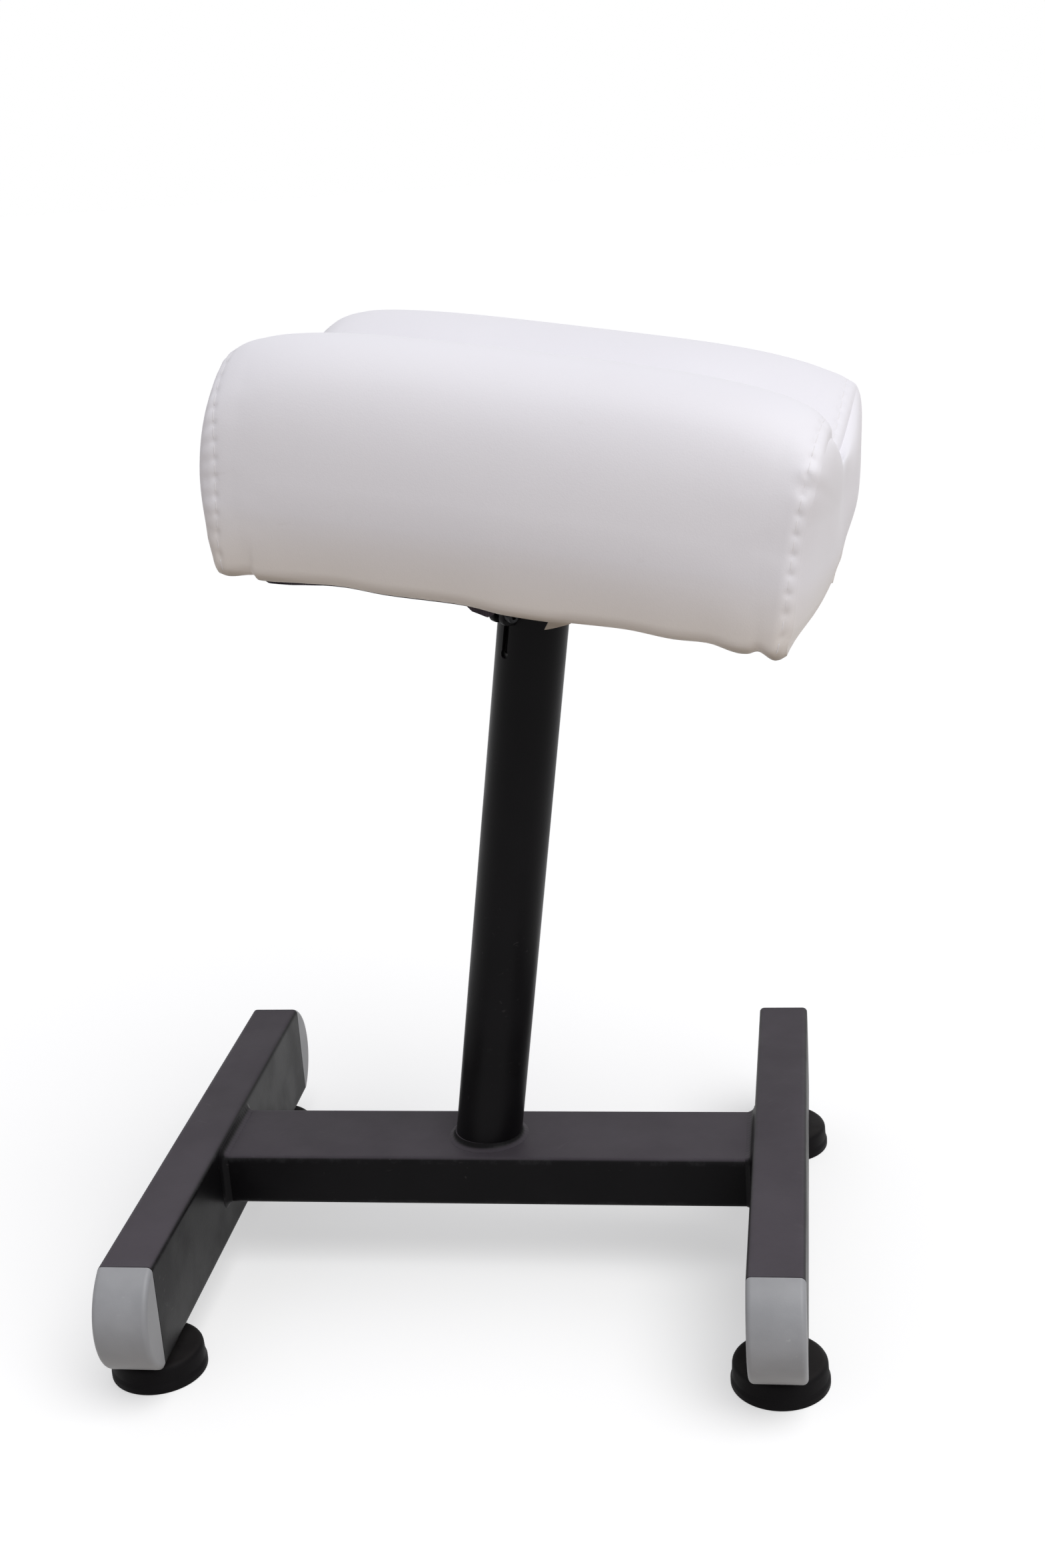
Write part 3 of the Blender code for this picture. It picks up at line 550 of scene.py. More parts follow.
def finish(name, grain, specular=0.5, metallic=0.0):
    """A material. Returns it with its tree, its shader's sockets, and its grain, fine and slow."""
    material = bpy.data.materials.new(f"dressed_{name}")
    material.use_nodes = True
    tree = material.node_tree
    shader = tree.nodes["Principled BSDF"].inputs
    shader["Specular IOR Level"].default_value = specular
    shader["Metallic"].default_value = metallic
    return material, tree, shader, effect(tree, GRAIN, *grain)


def wire(tree, shader, colour, roughness, height, depth):
    """Joins a shader to its colour, its roughness and a bump of a depth."""
    sockets = {"Height": height, "Strength": 1.0, "Distance": depth}
    tree.links.new(colour, shader["Base Color"])
    tree.links.new(roughness, shader["Roughness"])
    tree.links.new(output(tree, "ShaderNodeBump", sockets), shader["Normal"])


def mottled(name, grain, tones, layers, gloss, depth, dulled=0.0, **levels):
    """Two tones that follow the mottle, effects over them in turn, and a fine grain. Dust may dull it."""
    material, tree, shader, texture = finish(name, grain, **levels)
    colour = blend(tree, texture["Mottle"], *tones)
    roughness = spread(tree, texture["Mottle"], *gloss)
    for group, amount, scale, over in layers:
        mask = effect(tree, group, amount, scale)["Mask"]
        colour = blend(tree, mask, colour, over)
        if group == DUST_AND_SHEEN and dulled:
            roughness = math(tree, "ADD", roughness, math(tree, "MULTIPLY", mask, dulled), clamp=True)
    wire(tree, shader, colour, roughness, texture["Height"], depth)
    return material


def black_paint():
    """Satin powder coat: faint orange peel, dust and a painted sheen on top, fine scuffs, and grey where
    edges are rubbed.
    """
    tones = ((0.0032, 0.0029, 0.0034, 1), (0.0052, 0.0048, 0.0055, 1))
    layers = [
        # dust, and a painted sheen that lightens the upward faces
        (DUST_AND_SHEEN, 0.17, 9.0, (0.40, 0.35, 0.41, 1)),
        (SCUFFS, 0.08, 16.0, (0.22, 0.21, 0.21, 1)),
        (EDGES, 0.08, 90.0, (0.10, 0.10, 0.105, 1)),
    ]
    return mottled("black_paint", (700, 22), tones, layers, (0.36, 0.46), 0.00004, 0.8, specular=0.08)


def grey_plastic():
    """Moulded end caps: fine spark texture, a little handled grime."""
    tones = ((0.258, 0.263, 0.276, 1), (0.298, 0.303, 0.318, 1))
    layers = [(SCUFFS, 0.25, 20.0, (0.50, 0.50, 0.50, 1)), (DUST_AND_SHEEN, 0.08, 70.0, (0.40, 0.37, 0.34, 1))]
    return mottled("grey_plastic", (1500, 45), tones, layers, (0.40, 0.50), 0.00005, specular=0.45)


def black_rubber():
    """Foot pads: dull, finely pitted, dusty."""
    tones = ((0.0040, 0.0036, 0.0041, 1), (0.0065, 0.0060, 0.0066, 1))
    layers = [(DUST_AND_SHEEN, 0.05, 80.0, (0.20, 0.18, 0.17, 1))]
    return mottled("black_rubber", (900, 60), tones, layers, (0.52, 0.68), 0.00006, specular=0.07)


def black_plastic():
    """Turned bush and plug, slightly polished by sliding."""
    tones = ((0.010, 0.010, 0.011, 1), (0.018, 0.018, 0.018, 1))
    layers = [(SCUFFS, 0.35, 30.0, (0.09, 0.09, 0.09, 1))]
    return mottled("black_plastic", (1100, 70), tones, layers, (0.38, 0.55), 0.00003, specular=0.45)


def zinc():
    """Plated fasteners: cloudy plating with fine scuffs."""
    tones = ((0.50, 0.50, 0.49, 1), (0.66, 0.66, 0.64, 1))
    layers = [(SCUFFS, 0.6, 60.0, (0.80, 0.80, 0.79, 1))]
    return mottled("zinc", (1800, 240), tones, layers, (0.26, 0.44), 0.00002, metallic=1.0)


def dark_steel():
    """Blackened clamp fasteners, rubbed brighter in places, their tones darkened further as painted shade
    under the cushion.
    """
    # darker than blackened steel alone: painted shade under the cushion
    tones = ((0.012, 0.012, 0.013, 1), (0.026, 0.026, 0.027, 1))
    layers = [(SCUFFS, 0.7, 70.0, (0.14, 0.14, 0.14, 1))]
    return mottled("dark_steel", (1800, 260), tones, layers, (0.30, 0.46), 0.00002, metallic=1.0)


def plywood():
    """Seat board: long grain on the faces, plies on the edges."""
    material, tree, shader, grain = finish("plywood", (500, 14), specular=0.3)
    where = own_place(tree)
    figure = clouds(tree, vector(tree, "MULTIPLY", where, (12, 160, 30)), 1.0, 5.0)
    height = add(tree, "ShaderNodeSeparateXYZ", {0: where}).outputs["Z"]
    plies = math(tree, "PINGPONG", math(tree, "MULTIPLY", height, 420.0), 1.0)
    colour = blend(tree, figure, (0.47, 0.32, 0.17, 1), (0.68, 0.52, 0.33, 1))
    colour = blend(tree, math(tree, "MULTIPLY", plies, 0.35), colour, (0.30, 0.19, 0.10, 1))
    wire(tree, shader, colour, spread(tree, grain["Mottle"], 0.62, 0.80), figure, 0.0001)
    return material


def foam():
    """Cut foam: pale, porous."""
    material, tree, shader, grain = finish("foam", (420, 18), specular=0.1)
    sockets = {"Vector": own_place(tree), "Scale": 700.0}
    pores = add(tree, "ShaderNodeTexVoronoi", sockets).outputs["Distance"]
    colour = blend(tree, grain["Mottle"], (0.74, 0.68, 0.48, 1), (0.82, 0.77, 0.58, 1))
    wire(tree, shader, colour, spread(tree, grain["Mottle"], 0.88, 0.98), pores, 0.0006)
    return material


def white_vinyl():
    """Upholstery vinyl: fine pebble grain, faint handling marks, a painted warm bounce light where it is
    turned under, and painted shade on what hangs below the bottom edge.
    """
    material, tree, shader, grain = finish("white_vinyl", (260, 9), specular=0.40)
    scuffs = effect(tree, SCUFFS, 0.10, 14.0)["Mask"]
    aside = vector(tree, "ADD", own_place(tree), (0.0004, 0.0004, 0.0004))
    cells = add(tree, "ShaderNodeTexVoronoi", {"Vector": aside, "Scale": 1150.0}).outputs["Distance"]
    pebble = math(tree, "MULTIPLY_ADD", grain["Height"], 0.5, cells)
    under = add(tree, "ShaderNodeAttribute", attribute_name="under").outputs["Fac"]
    # the attribute under: up to 1 it paints warm bounce light near the bottom edge, past 1 it paints shade
    # below that edge
    painted_warm_bounce = math(tree, "MULTIPLY", under, 0.45, clamp=True)
    painted_shade = math(tree, "SUBTRACT", under, 1.0, clamp=True)
    colour = blend(tree, grain["Mottle"], (0.779, 0.766, 0.804, 1), (0.803, 0.791, 0.826, 1))
    colour = blend(tree, scuffs, colour, (0.60, 0.58, 0.57, 1))
    # painted warm bounce light, then painted shade
    colour = blend(tree, painted_warm_bounce, colour, (0.72, 0.64, 0.53, 1))
    colour = blend(tree, painted_shade, colour, (0.26, 0.22, 0.18, 1))
    wire(tree, shader, colour, spread(tree, grain["Mottle"], 0.46, 0.56), pebble, 0.000025)
    return material


def thread():
    """Bonded white thread: two plies twisted round each other."""
    material, tree, shader, grain = finish("thread", (2500, 300), specular=0.3)
    sockets = {"Vector": own_place(tree), "Scale": 700.0, "Distortion": 1.0}
    plies = add(tree, "ShaderNodeTexWave", sockets).outputs["Fac"]
    colour = blend(tree, grain["Mottle"], (0.77, 0.755, 0.775, 1), (0.81, 0.795, 0.81, 1))
    wire(tree, shader, colour, spread(tree, plies, 0.55, 0.75), plies, 0.00002)
    return material


def lining_cloth():
    """Dark dust cover: a plain weave with slubs."""
    material, tree, shader, grain = finish("lining_cloth", (800, 25), specular=0.15)
    sockets = {"Vector": own_place(tree), "Scale": 260.0, "Distortion": 0.8, "Detail": 1.0}
    threads = [add(tree, "ShaderNodeTexWave", sockets, bands_direction=axis).outputs["Fac"] for axis in "XY"]
    weave = math(tree, "MULTIPLY", *threads)
    colour = blend(tree, weave, (0.030, 0.025, 0.034, 1), (0.072, 0.061, 0.078, 1))
    colour = blend(tree, math(tree, "MULTIPLY", grain["Mottle"], 0.3), colour, (0.105, 0.090, 0.110, 1))
    wire(tree, shader, colour, spread(tree, grain["Mottle"], 0.82, 0.95), weave, 0.0002)
    return material


FINISHES = {
    make.__name__: make()
    for make in (
        black_paint, grey_plastic, black_rubber, black_plastic, zinc, dark_steel, plywood, foam,
        white_vinyl, thread, lining_cloth,
    )
}


# Meshes

def grid(name, points, close_rows=False, close_columns=False):
    """Quads over a grid of points, by row and column."""
    points = np.asarray(points, float)
    rows, columns = points.shape[:2]
    index = np.arange(rows * columns).reshape(rows, columns)
    if close_rows:
        index = np.vstack([index, index[:1]])
    if close_columns:
        index = np.hstack([index, index[:, :1]])
    quads = np.stack([index[:-1, :-1], index[:-1, 1:], index[1:, 1:], index[1:, :-1]], axis=-1)
    mesh = bpy.data.meshes.new(name)
    mesh.from_pydata(points.reshape(-1, 3).tolist(), [], quads.reshape(-1, 4).tolist())
    return mesh


def mark(mesh, name, values):
    """A value at each point, for the materials."""
    layer = mesh.attributes.new(name, "FLOAT", "POINT")
    layer.data.foreach_set("value", np.asarray(values, np.float32).ravel())


def smooth(mesh, sharp=SHARP):
    mesh.shade_smooth()
    mesh.set_sharp_from_angle(angle=sharp)
    return mesh


@contextmanager
def editing(mesh):
    """A mesh opened for editing and written back."""
    bm = bmesh.new()
    bm.from_mesh(mesh)
    yield bm
    bm.to_mesh(mesh)
    bm.free()


def closed(mesh, sharp=SHARP, fill=False):
    """A closed mesh with its doubles merged and its faces turned outwards."""
    with editing(mesh) as bm:
        bmesh.ops.remove_doubles(bm, verts=bm.verts, dist=MERGE)
        if fill:
            bmesh.ops.holes_fill(bm, edges=bm.edges)
        bmesh.ops.recalc_face_normals(bm, faces=bm.faces)
    return smooth(mesh, sharp)


def facing(mesh, outward):
    """An open sheet with its doubles merged and its faces turned outwards, as outward says for a point."""
    with editing(mesh) as bm:
        bmesh.ops.remove_doubles(bm, verts=bm.verts, dist=MERGE)
        bmesh.ops.recalc_face_normals(bm, faces=bm.faces)
        turns = [face.normal.dot(outward(face.calc_center_median())) for face in bm.faces]
        if sum(turn * face.calc_area() for turn, face in zip(turns, bm.faces)) < 0:
            bmesh.ops.reverse_faces(bm, faces=bm.faces)
    return mesh


def joined(name, *meshes):
    """Several meshes as one."""
    result = bpy.data.meshes.new(name)
    with editing(result) as bm:
        for mesh in meshes:
            bm.from_mesh(mesh)
    return smooth(result)


def stand_in(mesh):
    """An object for a mesh while tools work on it."""
    obj = bpy.data.objects.new(mesh.name, mesh)
    bpy.context.scene.collection.objects.link(obj)
    return obj


def applied(obj):
    """The mesh that an object's modifiers make. The object goes."""
    graph = bpy.context.evaluated_depsgraph_get()
    mesh = bpy.data.meshes.new_from_object(obj.evaluated_get(graph))
    bpy.data.objects.remove(obj)
    return mesh


def cut(mesh, *cutters):
    """A mesh with others cut out of it."""
    obj = stand_in(mesh)
    tools = [stand_in(cutter) for cutter in cutters]
    for tool in tools:
        difference = obj.modifiers.new("cut", "BOOLEAN")
        difference.object = tool
        difference.solver = "EXACT"
    result = applied(obj)
    for tool in tools:
        bpy.data.objects.remove(tool)
    return smooth(result)


def walled(mesh, thickness):
    """A sheet given thickness on its inner side."""
    obj = stand_in(mesh)
    wall = obj.modifiers.new("wall", "SOLIDIFY")
    wall.thickness = thickness
    wall.offset = -1
    wall.use_even_offset = False
    return smooth(applied(obj))


def placed(mesh, matrix):
    mesh.transform(matrix)
    return mesh


def eased(corners, ring=True, steps=5):
    """An outline of (x, y, radius) corners as points, each corner rounded to its radius."""
    points = []
    for i, (x, y, radius) in enumerate(corners):
        here = Vector((x, y))
        if radius == 0 or (not ring and i in (0, len(corners) - 1)):
            points.append(here)
            continue
        back = (Vector(corners[i - 1][:2]) - here).normalized()
        onward = (Vector(corners[(i + 1) % len(corners)][:2]) - here).normalized()
        half = back.angle(onward) / 2
        centre = here + (back + onward).normalized() * radius / sin(half)
        start = here + back * radius / tan(half) - centre
        end = here + onward * radius / tan(half) - centre
        turn = (pi - 2 * half) * (1 if start.cross(end) > 0 else -1)
        points += [centre + Matrix.Rotation(turn * k / steps, 2) @ start for k in range(steps + 1)]
    return points


def oblong(length, width, corner=0.0, steps=5):
    """A rectangle's outline, its corners rounded."""
    return eased([(x * length / 2, y * width / 2, corner) for x, y in CORNERS], steps=steps)


def rounded(width, height, corner):
    """A rectangle with round corners, with a point on each side just past each corner. Returns the points
    and a mark of 1 on the corners."""
    points = []
    marks = []
    for quarter in range(4):
        middle = pi / 4 + quarter * pi / 2
        centre = np.sign([cos(middle), sin(middle)]) * (np.array([width, height]) / 2 - corner)
        angles = (quarter + np.linspace(0, 1, CORNER + 1)) * pi / 2
        arc = centre + corner * np.stack([np.cos(angles), np.sin(angles)], axis=-1)
        before = np.array([sin(angles[0]), -cos(angles[0])]) * CORNER_LEAD
        after = np.array([-sin(angles[-1]), cos(angles[-1])]) * CORNER_LEAD
        points += [arc[0] + before, *arc, arc[-1] + after]
        marks += [0.0] + [1.0] * len(arc) + [0.0]
    return np.array(points), np.array(marks)


def round_angles(steps):
    return np.linspace(0, 2 * pi, steps, endpoint=False)


def polar(radius, angle, height):
    """Points by their distance from Z, angle round it and height."""
    return np.stack(np.broadcast_arrays(radius * np.cos(angle), radius * np.sin(angle), height), axis=-1)


def turned(name, profile, ring=False, steps=ROUND):
    """A profile of (radius, height) turned about Z."""
    radius, height = np.array([tuple(point) for point in profile]).T[..., None]
    points = polar(radius, round_angles(steps), height)
    return closed(grid(name, points, close_rows=ring, close_columns=True))


def plate(name, outlines, thickness, ease):
    """A flat plate centred on Z, from an outline and its holes, with eased edges."""
    curve = bpy.data.curves.new(name, "CURVE")
    curve.dimensions = "2D"
    curve.fill_mode = "BOTH"
    curve.extrude = thickness / 2 - ease
    curve.bevel_depth = ease
    curve.bevel_resolution = 2
    curve.offset = -ease
    for outline in outlines:
        spline = curve.splines.new("POLY")
        spline.points.add(len(outline) - 1)
        for point, (x, y) in zip(spline.points, outline):
            point.co = (x, y, 0, 1)
        spline.use_cyclic_u = True
    guide = bpy.data.objects.new(name, curve)
    bpy.context.scene.collection.objects.link(guide)
    return closed(applied(guide))


def circle(radius, x=0.0, y=0.0, steps=SMALL_ROUND):
    return [(x + radius * cos(angle), y + radius * sin(angle)) for angle in round_angles(steps)]


def rod(name, radius, low, high, steps=SMALL_ROUND):
    return turned(name, [(0, high), (radius, high), (radius, low), (0, low)], steps=steps)


def threaded(name, radius, pitch, low, high, steps=THREAD_ROUND):
    """A rod along Z with a helical thread that runs out at both ends."""
    depth = THREAD_SHARE * pitch
    heights = np.linspace(low, high, ceil((high - low) / pitch * THREAD_ROWS) + 1)[:, None]
    angles = round_angles(steps)
    flank = np.abs(2 * ((heights / pitch - angles / (2 * pi)) % 1) - 1)
    run_out = np.clip(np.minimum(heights - low, high - heights) / pitch, 0, 1)
    radii = np.minimum(radius - depth * flank, radius - depth * (1 - run_out))
    poles = [polar(0, angles, level)[None] for level in (low, high)]
    points = np.vstack([poles[0], polar(radii, angles, heights), poles[1]])
    return closed(grid(name, points, close_columns=True))


def hexagon_nut(name, flats, bore, low, high):
    """A nut along Z, its corners chamfered at both faces."""
    angles = round_angles(NUT_STEPS)
    reach = flats / 2 / np.cos((angles + pi / 6) % (pi / 3) - pi / 6)
    face = flats / 2 * NUT_FACE
    slope = (reach - face) * tan(NUT_CHAMFER)
    ease = bore + NUT_EASE
    rings = [
        (ease, low), (face, low), (reach, low + slope), (reach, high - slope), (face, high), (ease, high),
        (bore, high - NUT_EASE), (bore, low + NUT_EASE),
    ]
    points = [polar(radius, angles, level) for radius, level in rings]
    return closed(grid(name, points, close_rows=True, close_columns=True), NUT_SHARP)


def piece(name, mesh, at, body, slot, nodes=(), look=None):
    """A finished piece in place, riding on its body and standing for its CAD nodes."""
    mesh.transform(at)
    obj = stand_in(mesh)
    obj.name = name
    mesh.name = name
    mesh.materials.clear()
    mesh.materials.append(FINISHES[look or slot])
    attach(obj, body)
    if nodes:
        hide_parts(*nodes)
    return obj


# Geometry Nodes

def growth_tree(name, inputs):
    """A Geometry Nodes tree with named inputs besides its geometry. Returns it with its inner inputs."""
    tree = bpy.data.node_groups.new(name, "GeometryNodeTree")
    tree.interface.new_socket("Geometry", in_out="INPUT", socket_type="NodeSocketGeometry")
    for label, kind in inputs.items():
        tree.interface.new_socket(label, in_out="INPUT", socket_type=f"NodeSocket{kind}")
    tree.interface.new_socket("Geometry", in_out="OUTPUT", socket_type="NodeSocketGeometry")
    return tree, add(tree, "NodeGroupInput").outputs


def end_tree(tree, geometry, material):
    """Ends a tree in plain geometry with its finish."""
    real = output(tree, "GeometryNodeRealizeInstances", {"Geometry": geometry})
    made = output(tree, "GeometryNodeSetMaterial", {"Geometry": real, "Material": material})
    add(tree, "NodeGroupOutput", {"Geometry": made})
    return tree


def object_geometry(tree, obj):
    return add(tree, "GeometryNodeObjectInfo", {"Object": obj}).outputs["Geometry"]


def bead_tree():
    """A weld bead: a profile swept along a closed path in the XY plane, rippled along its length."""
    inputs = {"Profile": "Object", "Step": "Float", "Pitch": "Float", "Ripple": "Float"}
    inputs["Finish"] = "Material"
    tree, given = growth_tree("weld_bead", inputs)
    path = output(tree, "GeometryNodeMeshToCurve", {"Mesh": given["Geometry"]})
    sockets = {"Curve": path, "Length": given["Step"]}
    even = output(tree, "GeometryNodeResampleCurve", sockets, mode="LENGTH")
    level = output(tree, "GeometryNodeSetCurveNormal", {"Curve": even}, mode="Z_UP")
    kept = add(tree, "GeometryNodeCaptureAttribute", {"Geometry": level})
    kept.capture_items.new("FLOAT", "Along")
    tree.links.new(add(tree, "GeometryNodeSplineParameter").outputs["Length"], kept.inputs["Along"])
    outline = output(tree, "GeometryNodeMeshToCurve", {"Mesh": object_geometry(tree, given["Profile"])})
    sockets = {"Curve": kept.outputs[0], "Profile Curve": outline}
    swept = output(tree, "GeometryNodeCurveToMesh", sockets)
    turns = math(tree, "DIVIDE", kept.outputs["Along"], given["Pitch"])
    wave = math(tree, "SINE", math(tree, "MULTIPLY", turns, 2 * pi))
    uneven = clouds(tree, output(tree, "GeometryNodeInputPosition"), 110.0, 1.0)
    swing = math(tree, "MULTIPLY_ADD", math(tree, "SUBTRACT", uneven, 0.5), 5.0, wave)
    height = math(tree, "MULTIPLY", swing, given["Ripple"])
    normal = output(tree, "GeometryNodeInputNormal")
    push = output(tree, "ShaderNodeVectorMath", {0: normal, "Scale": height}, operation="SCALE")
    rippled = output(tree, "GeometryNodeSetPosition", {"Geometry": swept, "Offset": push})
    return end_tree(tree, rippled, given["Finish"])


def row_tree():
    """Copies of one object at a path's points, lying along it with their tops to its attribute up."""
    tree, given = growth_tree("sewn_row", {"Item": "Object", "Finish": "Material"})
    path = output(tree, "GeometryNodeMeshToCurve", {"Mesh": given["Geometry"]})
    up = output(tree, "GeometryNodeInputNamedAttribute", {"Name": "up"}, data_type="FLOAT_VECTOR")
    axes = {"Primary Axis": up, "Secondary Axis": output(tree, "GeometryNodeInputTangent")}
    lie = output(tree, "FunctionNodeAxesToRotation", axes, primary_axis="Z", secondary_axis="X")
    sockets = {"Points": path, "Instance": object_geometry(tree, given["Item"]), "Rotation": lie}
    return end_tree(tree, output(tree, "GeometryNodeInstanceOnPoints", sockets), given["Finish"])


def fastener_tree():
    """Copies of one fastener at points, each turned by chance about Z."""
    inputs = {"Fastener": "Object", "Seed": "Int", "Finish": "Material"}
    tree, given = growth_tree("fasteners", inputs)
    chance = add(tree, "FunctionNodeRandomValue", {"Max": 2 * pi, "Seed": given["Seed"]}, data_type="FLOAT")
    spin = output(tree, "ShaderNodeCombineXYZ", {"Z": chance.outputs[1]})
    turn = output(tree, "FunctionNodeEulerToRotation", {0: spin})
    fastener = object_geometry(tree, given["Fastener"])
    sockets = {"Points": given["Geometry"], "Instance": fastener, "Rotation": turn}
    return end_tree(tree, output(tree, "GeometryNodeInstanceOnPoints", sockets), given["Finish"])


BEAD = bead_tree()
ROW = row_tree()
FASTENERS = fastener_tree()


def grown(mesh, tree, **values):
    """The plain mesh that a tree makes from a mesh. Objects among the values go afterwards."""
    base = stand_in(mesh)
    modifier = base.modifiers.new("grow", "NODES")
    modifier.node_group = tree
    for item in tree.interface.items_tree:
        if item.name in values:
            modifier[item.identifier] = values[item.name]
    result = applied(base)
    for value in values.values():
        if isinstance(value, bpy.types.Object):
            bpy.data.objects.remove(value)
    return result


def path_mesh(name, points, ring=False, up=None):
    """A chain of edges, with the direction up at each point."""
    count = len(points)
    edges = [(i, (i + 1) % count) for i in range(count if ring else count - 1)]
    mesh = bpy.data.meshes.new(name)
    mesh.from_pydata([tuple(point) for point in points], edges, [])
    if up is not None:
        layer = mesh.attributes.new("up", "FLOAT_VECTOR", "POINT")
        layer.data.foreach_set("vector", np.asarray(up, np.float32).ravel())
    return mesh


def bead(loop, leg):
    """A concave weld bead round a loop, on the face that the loop lies in."""
    corners = [
        (-WELD_ROOT, -WELD_ROOT / 3, 0), (leg, -WELD_ROOT / 3, 0), (leg, WELD_TOE, 0),
        (leg * WELD_THROAT, leg * WELD_THROAT, leg * WELD_HOLLOW), (WELD_TOE, leg, 0), (-WELD_ROOT, leg, 0),
    ]
    outline = [(x, -y, 0) for x, y in eased(corners, steps=WELD_FACETS)]
    profile = stand_in(path_mesh("bead_profile", outline, ring=True))
    path = path_mesh("bead_path", [(x, y, 0) for x, y in loop], ring=True)
    values = {"Profile": profile, "Step": WELD_STEP, "Pitch": WELD_PITCH, "Ripple": WELD_RIPPLE}
    return closed(grown(path, BEAD, Finish=FINISHES["black_paint"], **values))


# Base

def rectangular_tube(name, length):
    """The base's tube along Z, tall along Y, with its edges marked."""
    half = length / 2
    outer, tip, inner = [
        rounded(TUBE_WIDTH - 2 * inset, TUBE_HEIGHT - 2 * inset, TUBE_CORNER - inset)[0]
        for inset in (0, TUBE_EASE, TUBE_WALL)
    ]
    corners = rounded(TUBE_WIDTH, TUBE_HEIGHT, TUBE_CORNER)[1]
    full = np.ones(len(corners))
    near = half - TUBE_EASE
    inside = half - TUBE_WEAR
    rings = [
        (tip, -half, full), (outer, -near, full), (outer, -inside, corners), (outer, inside, corners),
        (outer, near, full), (tip, half, full), (inner, half, 0 * full), (inner, -half, 0 * full),
    ]
    points = [np.column_stack([outline, np.full(len(outline), level)]) for outline, level, _ in rings]
    mesh = grid(name, points, close_rows=True, close_columns=True)
    mark(mesh, "edge", np.concatenate([marks for _, _, marks in rings]))
    return closed(mesh)


def legs_and_bar():
    """Both legs, with holes for their studs, and the crossbar between them."""
    for side, sign in SIDES.items():
        at = BASE_FRAME @ Matrix.Translation((sign * LEG_X, 0, LEG_BOTTOM + TUBE_HEIGHT / 2))
        mesh = placed(rectangular_tube("leg", LEG_LENGTH), at @ Matrix.Rotation(pi / 2, 4, "X"))
        holes = []
        for end in ENDS.values():
            hole = rod("stud_hole", STUD_RADIUS + GAP, LEG_BOTTOM - TUBE_WALL, LEG_BOTTOM + 2 * TUBE_WALL)
            holes.append(placed(hole, BASE_FRAME @ Matrix.Translation((sign * LEG_X, end * FOOT_Y, 0))))
        piece(f"{side}_leg_tube", cut(mesh, *holes), Matrix(), "base", "black_paint", [f"{side}_leg"])

    middle = Matrix.Translation(((BAR_LOW.x + BAR_HIGH.x) / 2, 0, (BAR_LOW.z + BAR_HIGH.z) / 2))
    at = middle @ Matrix.Rotation(pi / 2, 4, "Y")
    mesh = rectangular_tube("bar", BAR_HIGH.x - BAR_LOW.x)
    piece("crossbar_tube", mesh, at, "base", "black_paint", ["crossbar"])


def welds():
    """Beads where the crossbar meets the legs and where the post stands on the crossbar."""
    bar_end, _ = rounded(TUBE_HEIGHT, TUBE_WIDTH, TUBE_CORNER)
    middle = (BAR_LOW.z + BAR_HIGH.z) / 2
    for side, sign in SIDES.items():
        face = LEG_LOW.x if sign > 0 else LEFT_HIGH.x
        at = Matrix(((0, 0, -sign, face), (-sign, 0, 0, 0), (0, 1, 0, middle), (0, 0, 0, 1)))
        piece(f"{side}_weld_bead", bead(bar_end, WELD_LEG), at, "base", "black_paint", [f"{side}_weld"])
    foot_loop = [(x / cos(POST_LEAN), y) for x, y in circle(POST_RADIUS, steps=ROUND)]
    at = Matrix.Translation(POST_FOOT)
    piece("post_weld_bead", bead(foot_loop, WELD_LEG), at, "base", "black_paint", ["post_weld"])


def arc_through(first, middle, last, steps):
    """Points of the arc from first to last by way of middle."""
    (ax, ay), (bx, by), (cx, cy) = first, middle, last
    d = 2 * (ax * (by - cy) + bx * (cy - ay) + cx * (ay - by))
    squares = [x * x + y * y for x, y in (first, middle, last)]
    x = (squares[0] * (by - cy) + squares[1] * (cy - ay) + squares[2] * (ay - by)) / d
    y = (squares[0] * (cx - bx) + squares[1] * (ax - cx) + squares[2] * (bx - ax)) / d
    radius = sqrt((ax - x) ** 2 + (ay - y) ** 2)
    angles = np.linspace(atan2(ay - y, ax - x), atan2(cy - y, cx - x), steps + 1)
    points = np.stack([x + radius * np.cos(angles), y + radius * np.sin(angles)], axis=-1)
    normals = np.stack([np.cos(angles), np.sin(angles)], axis=-1)
    return points, normals


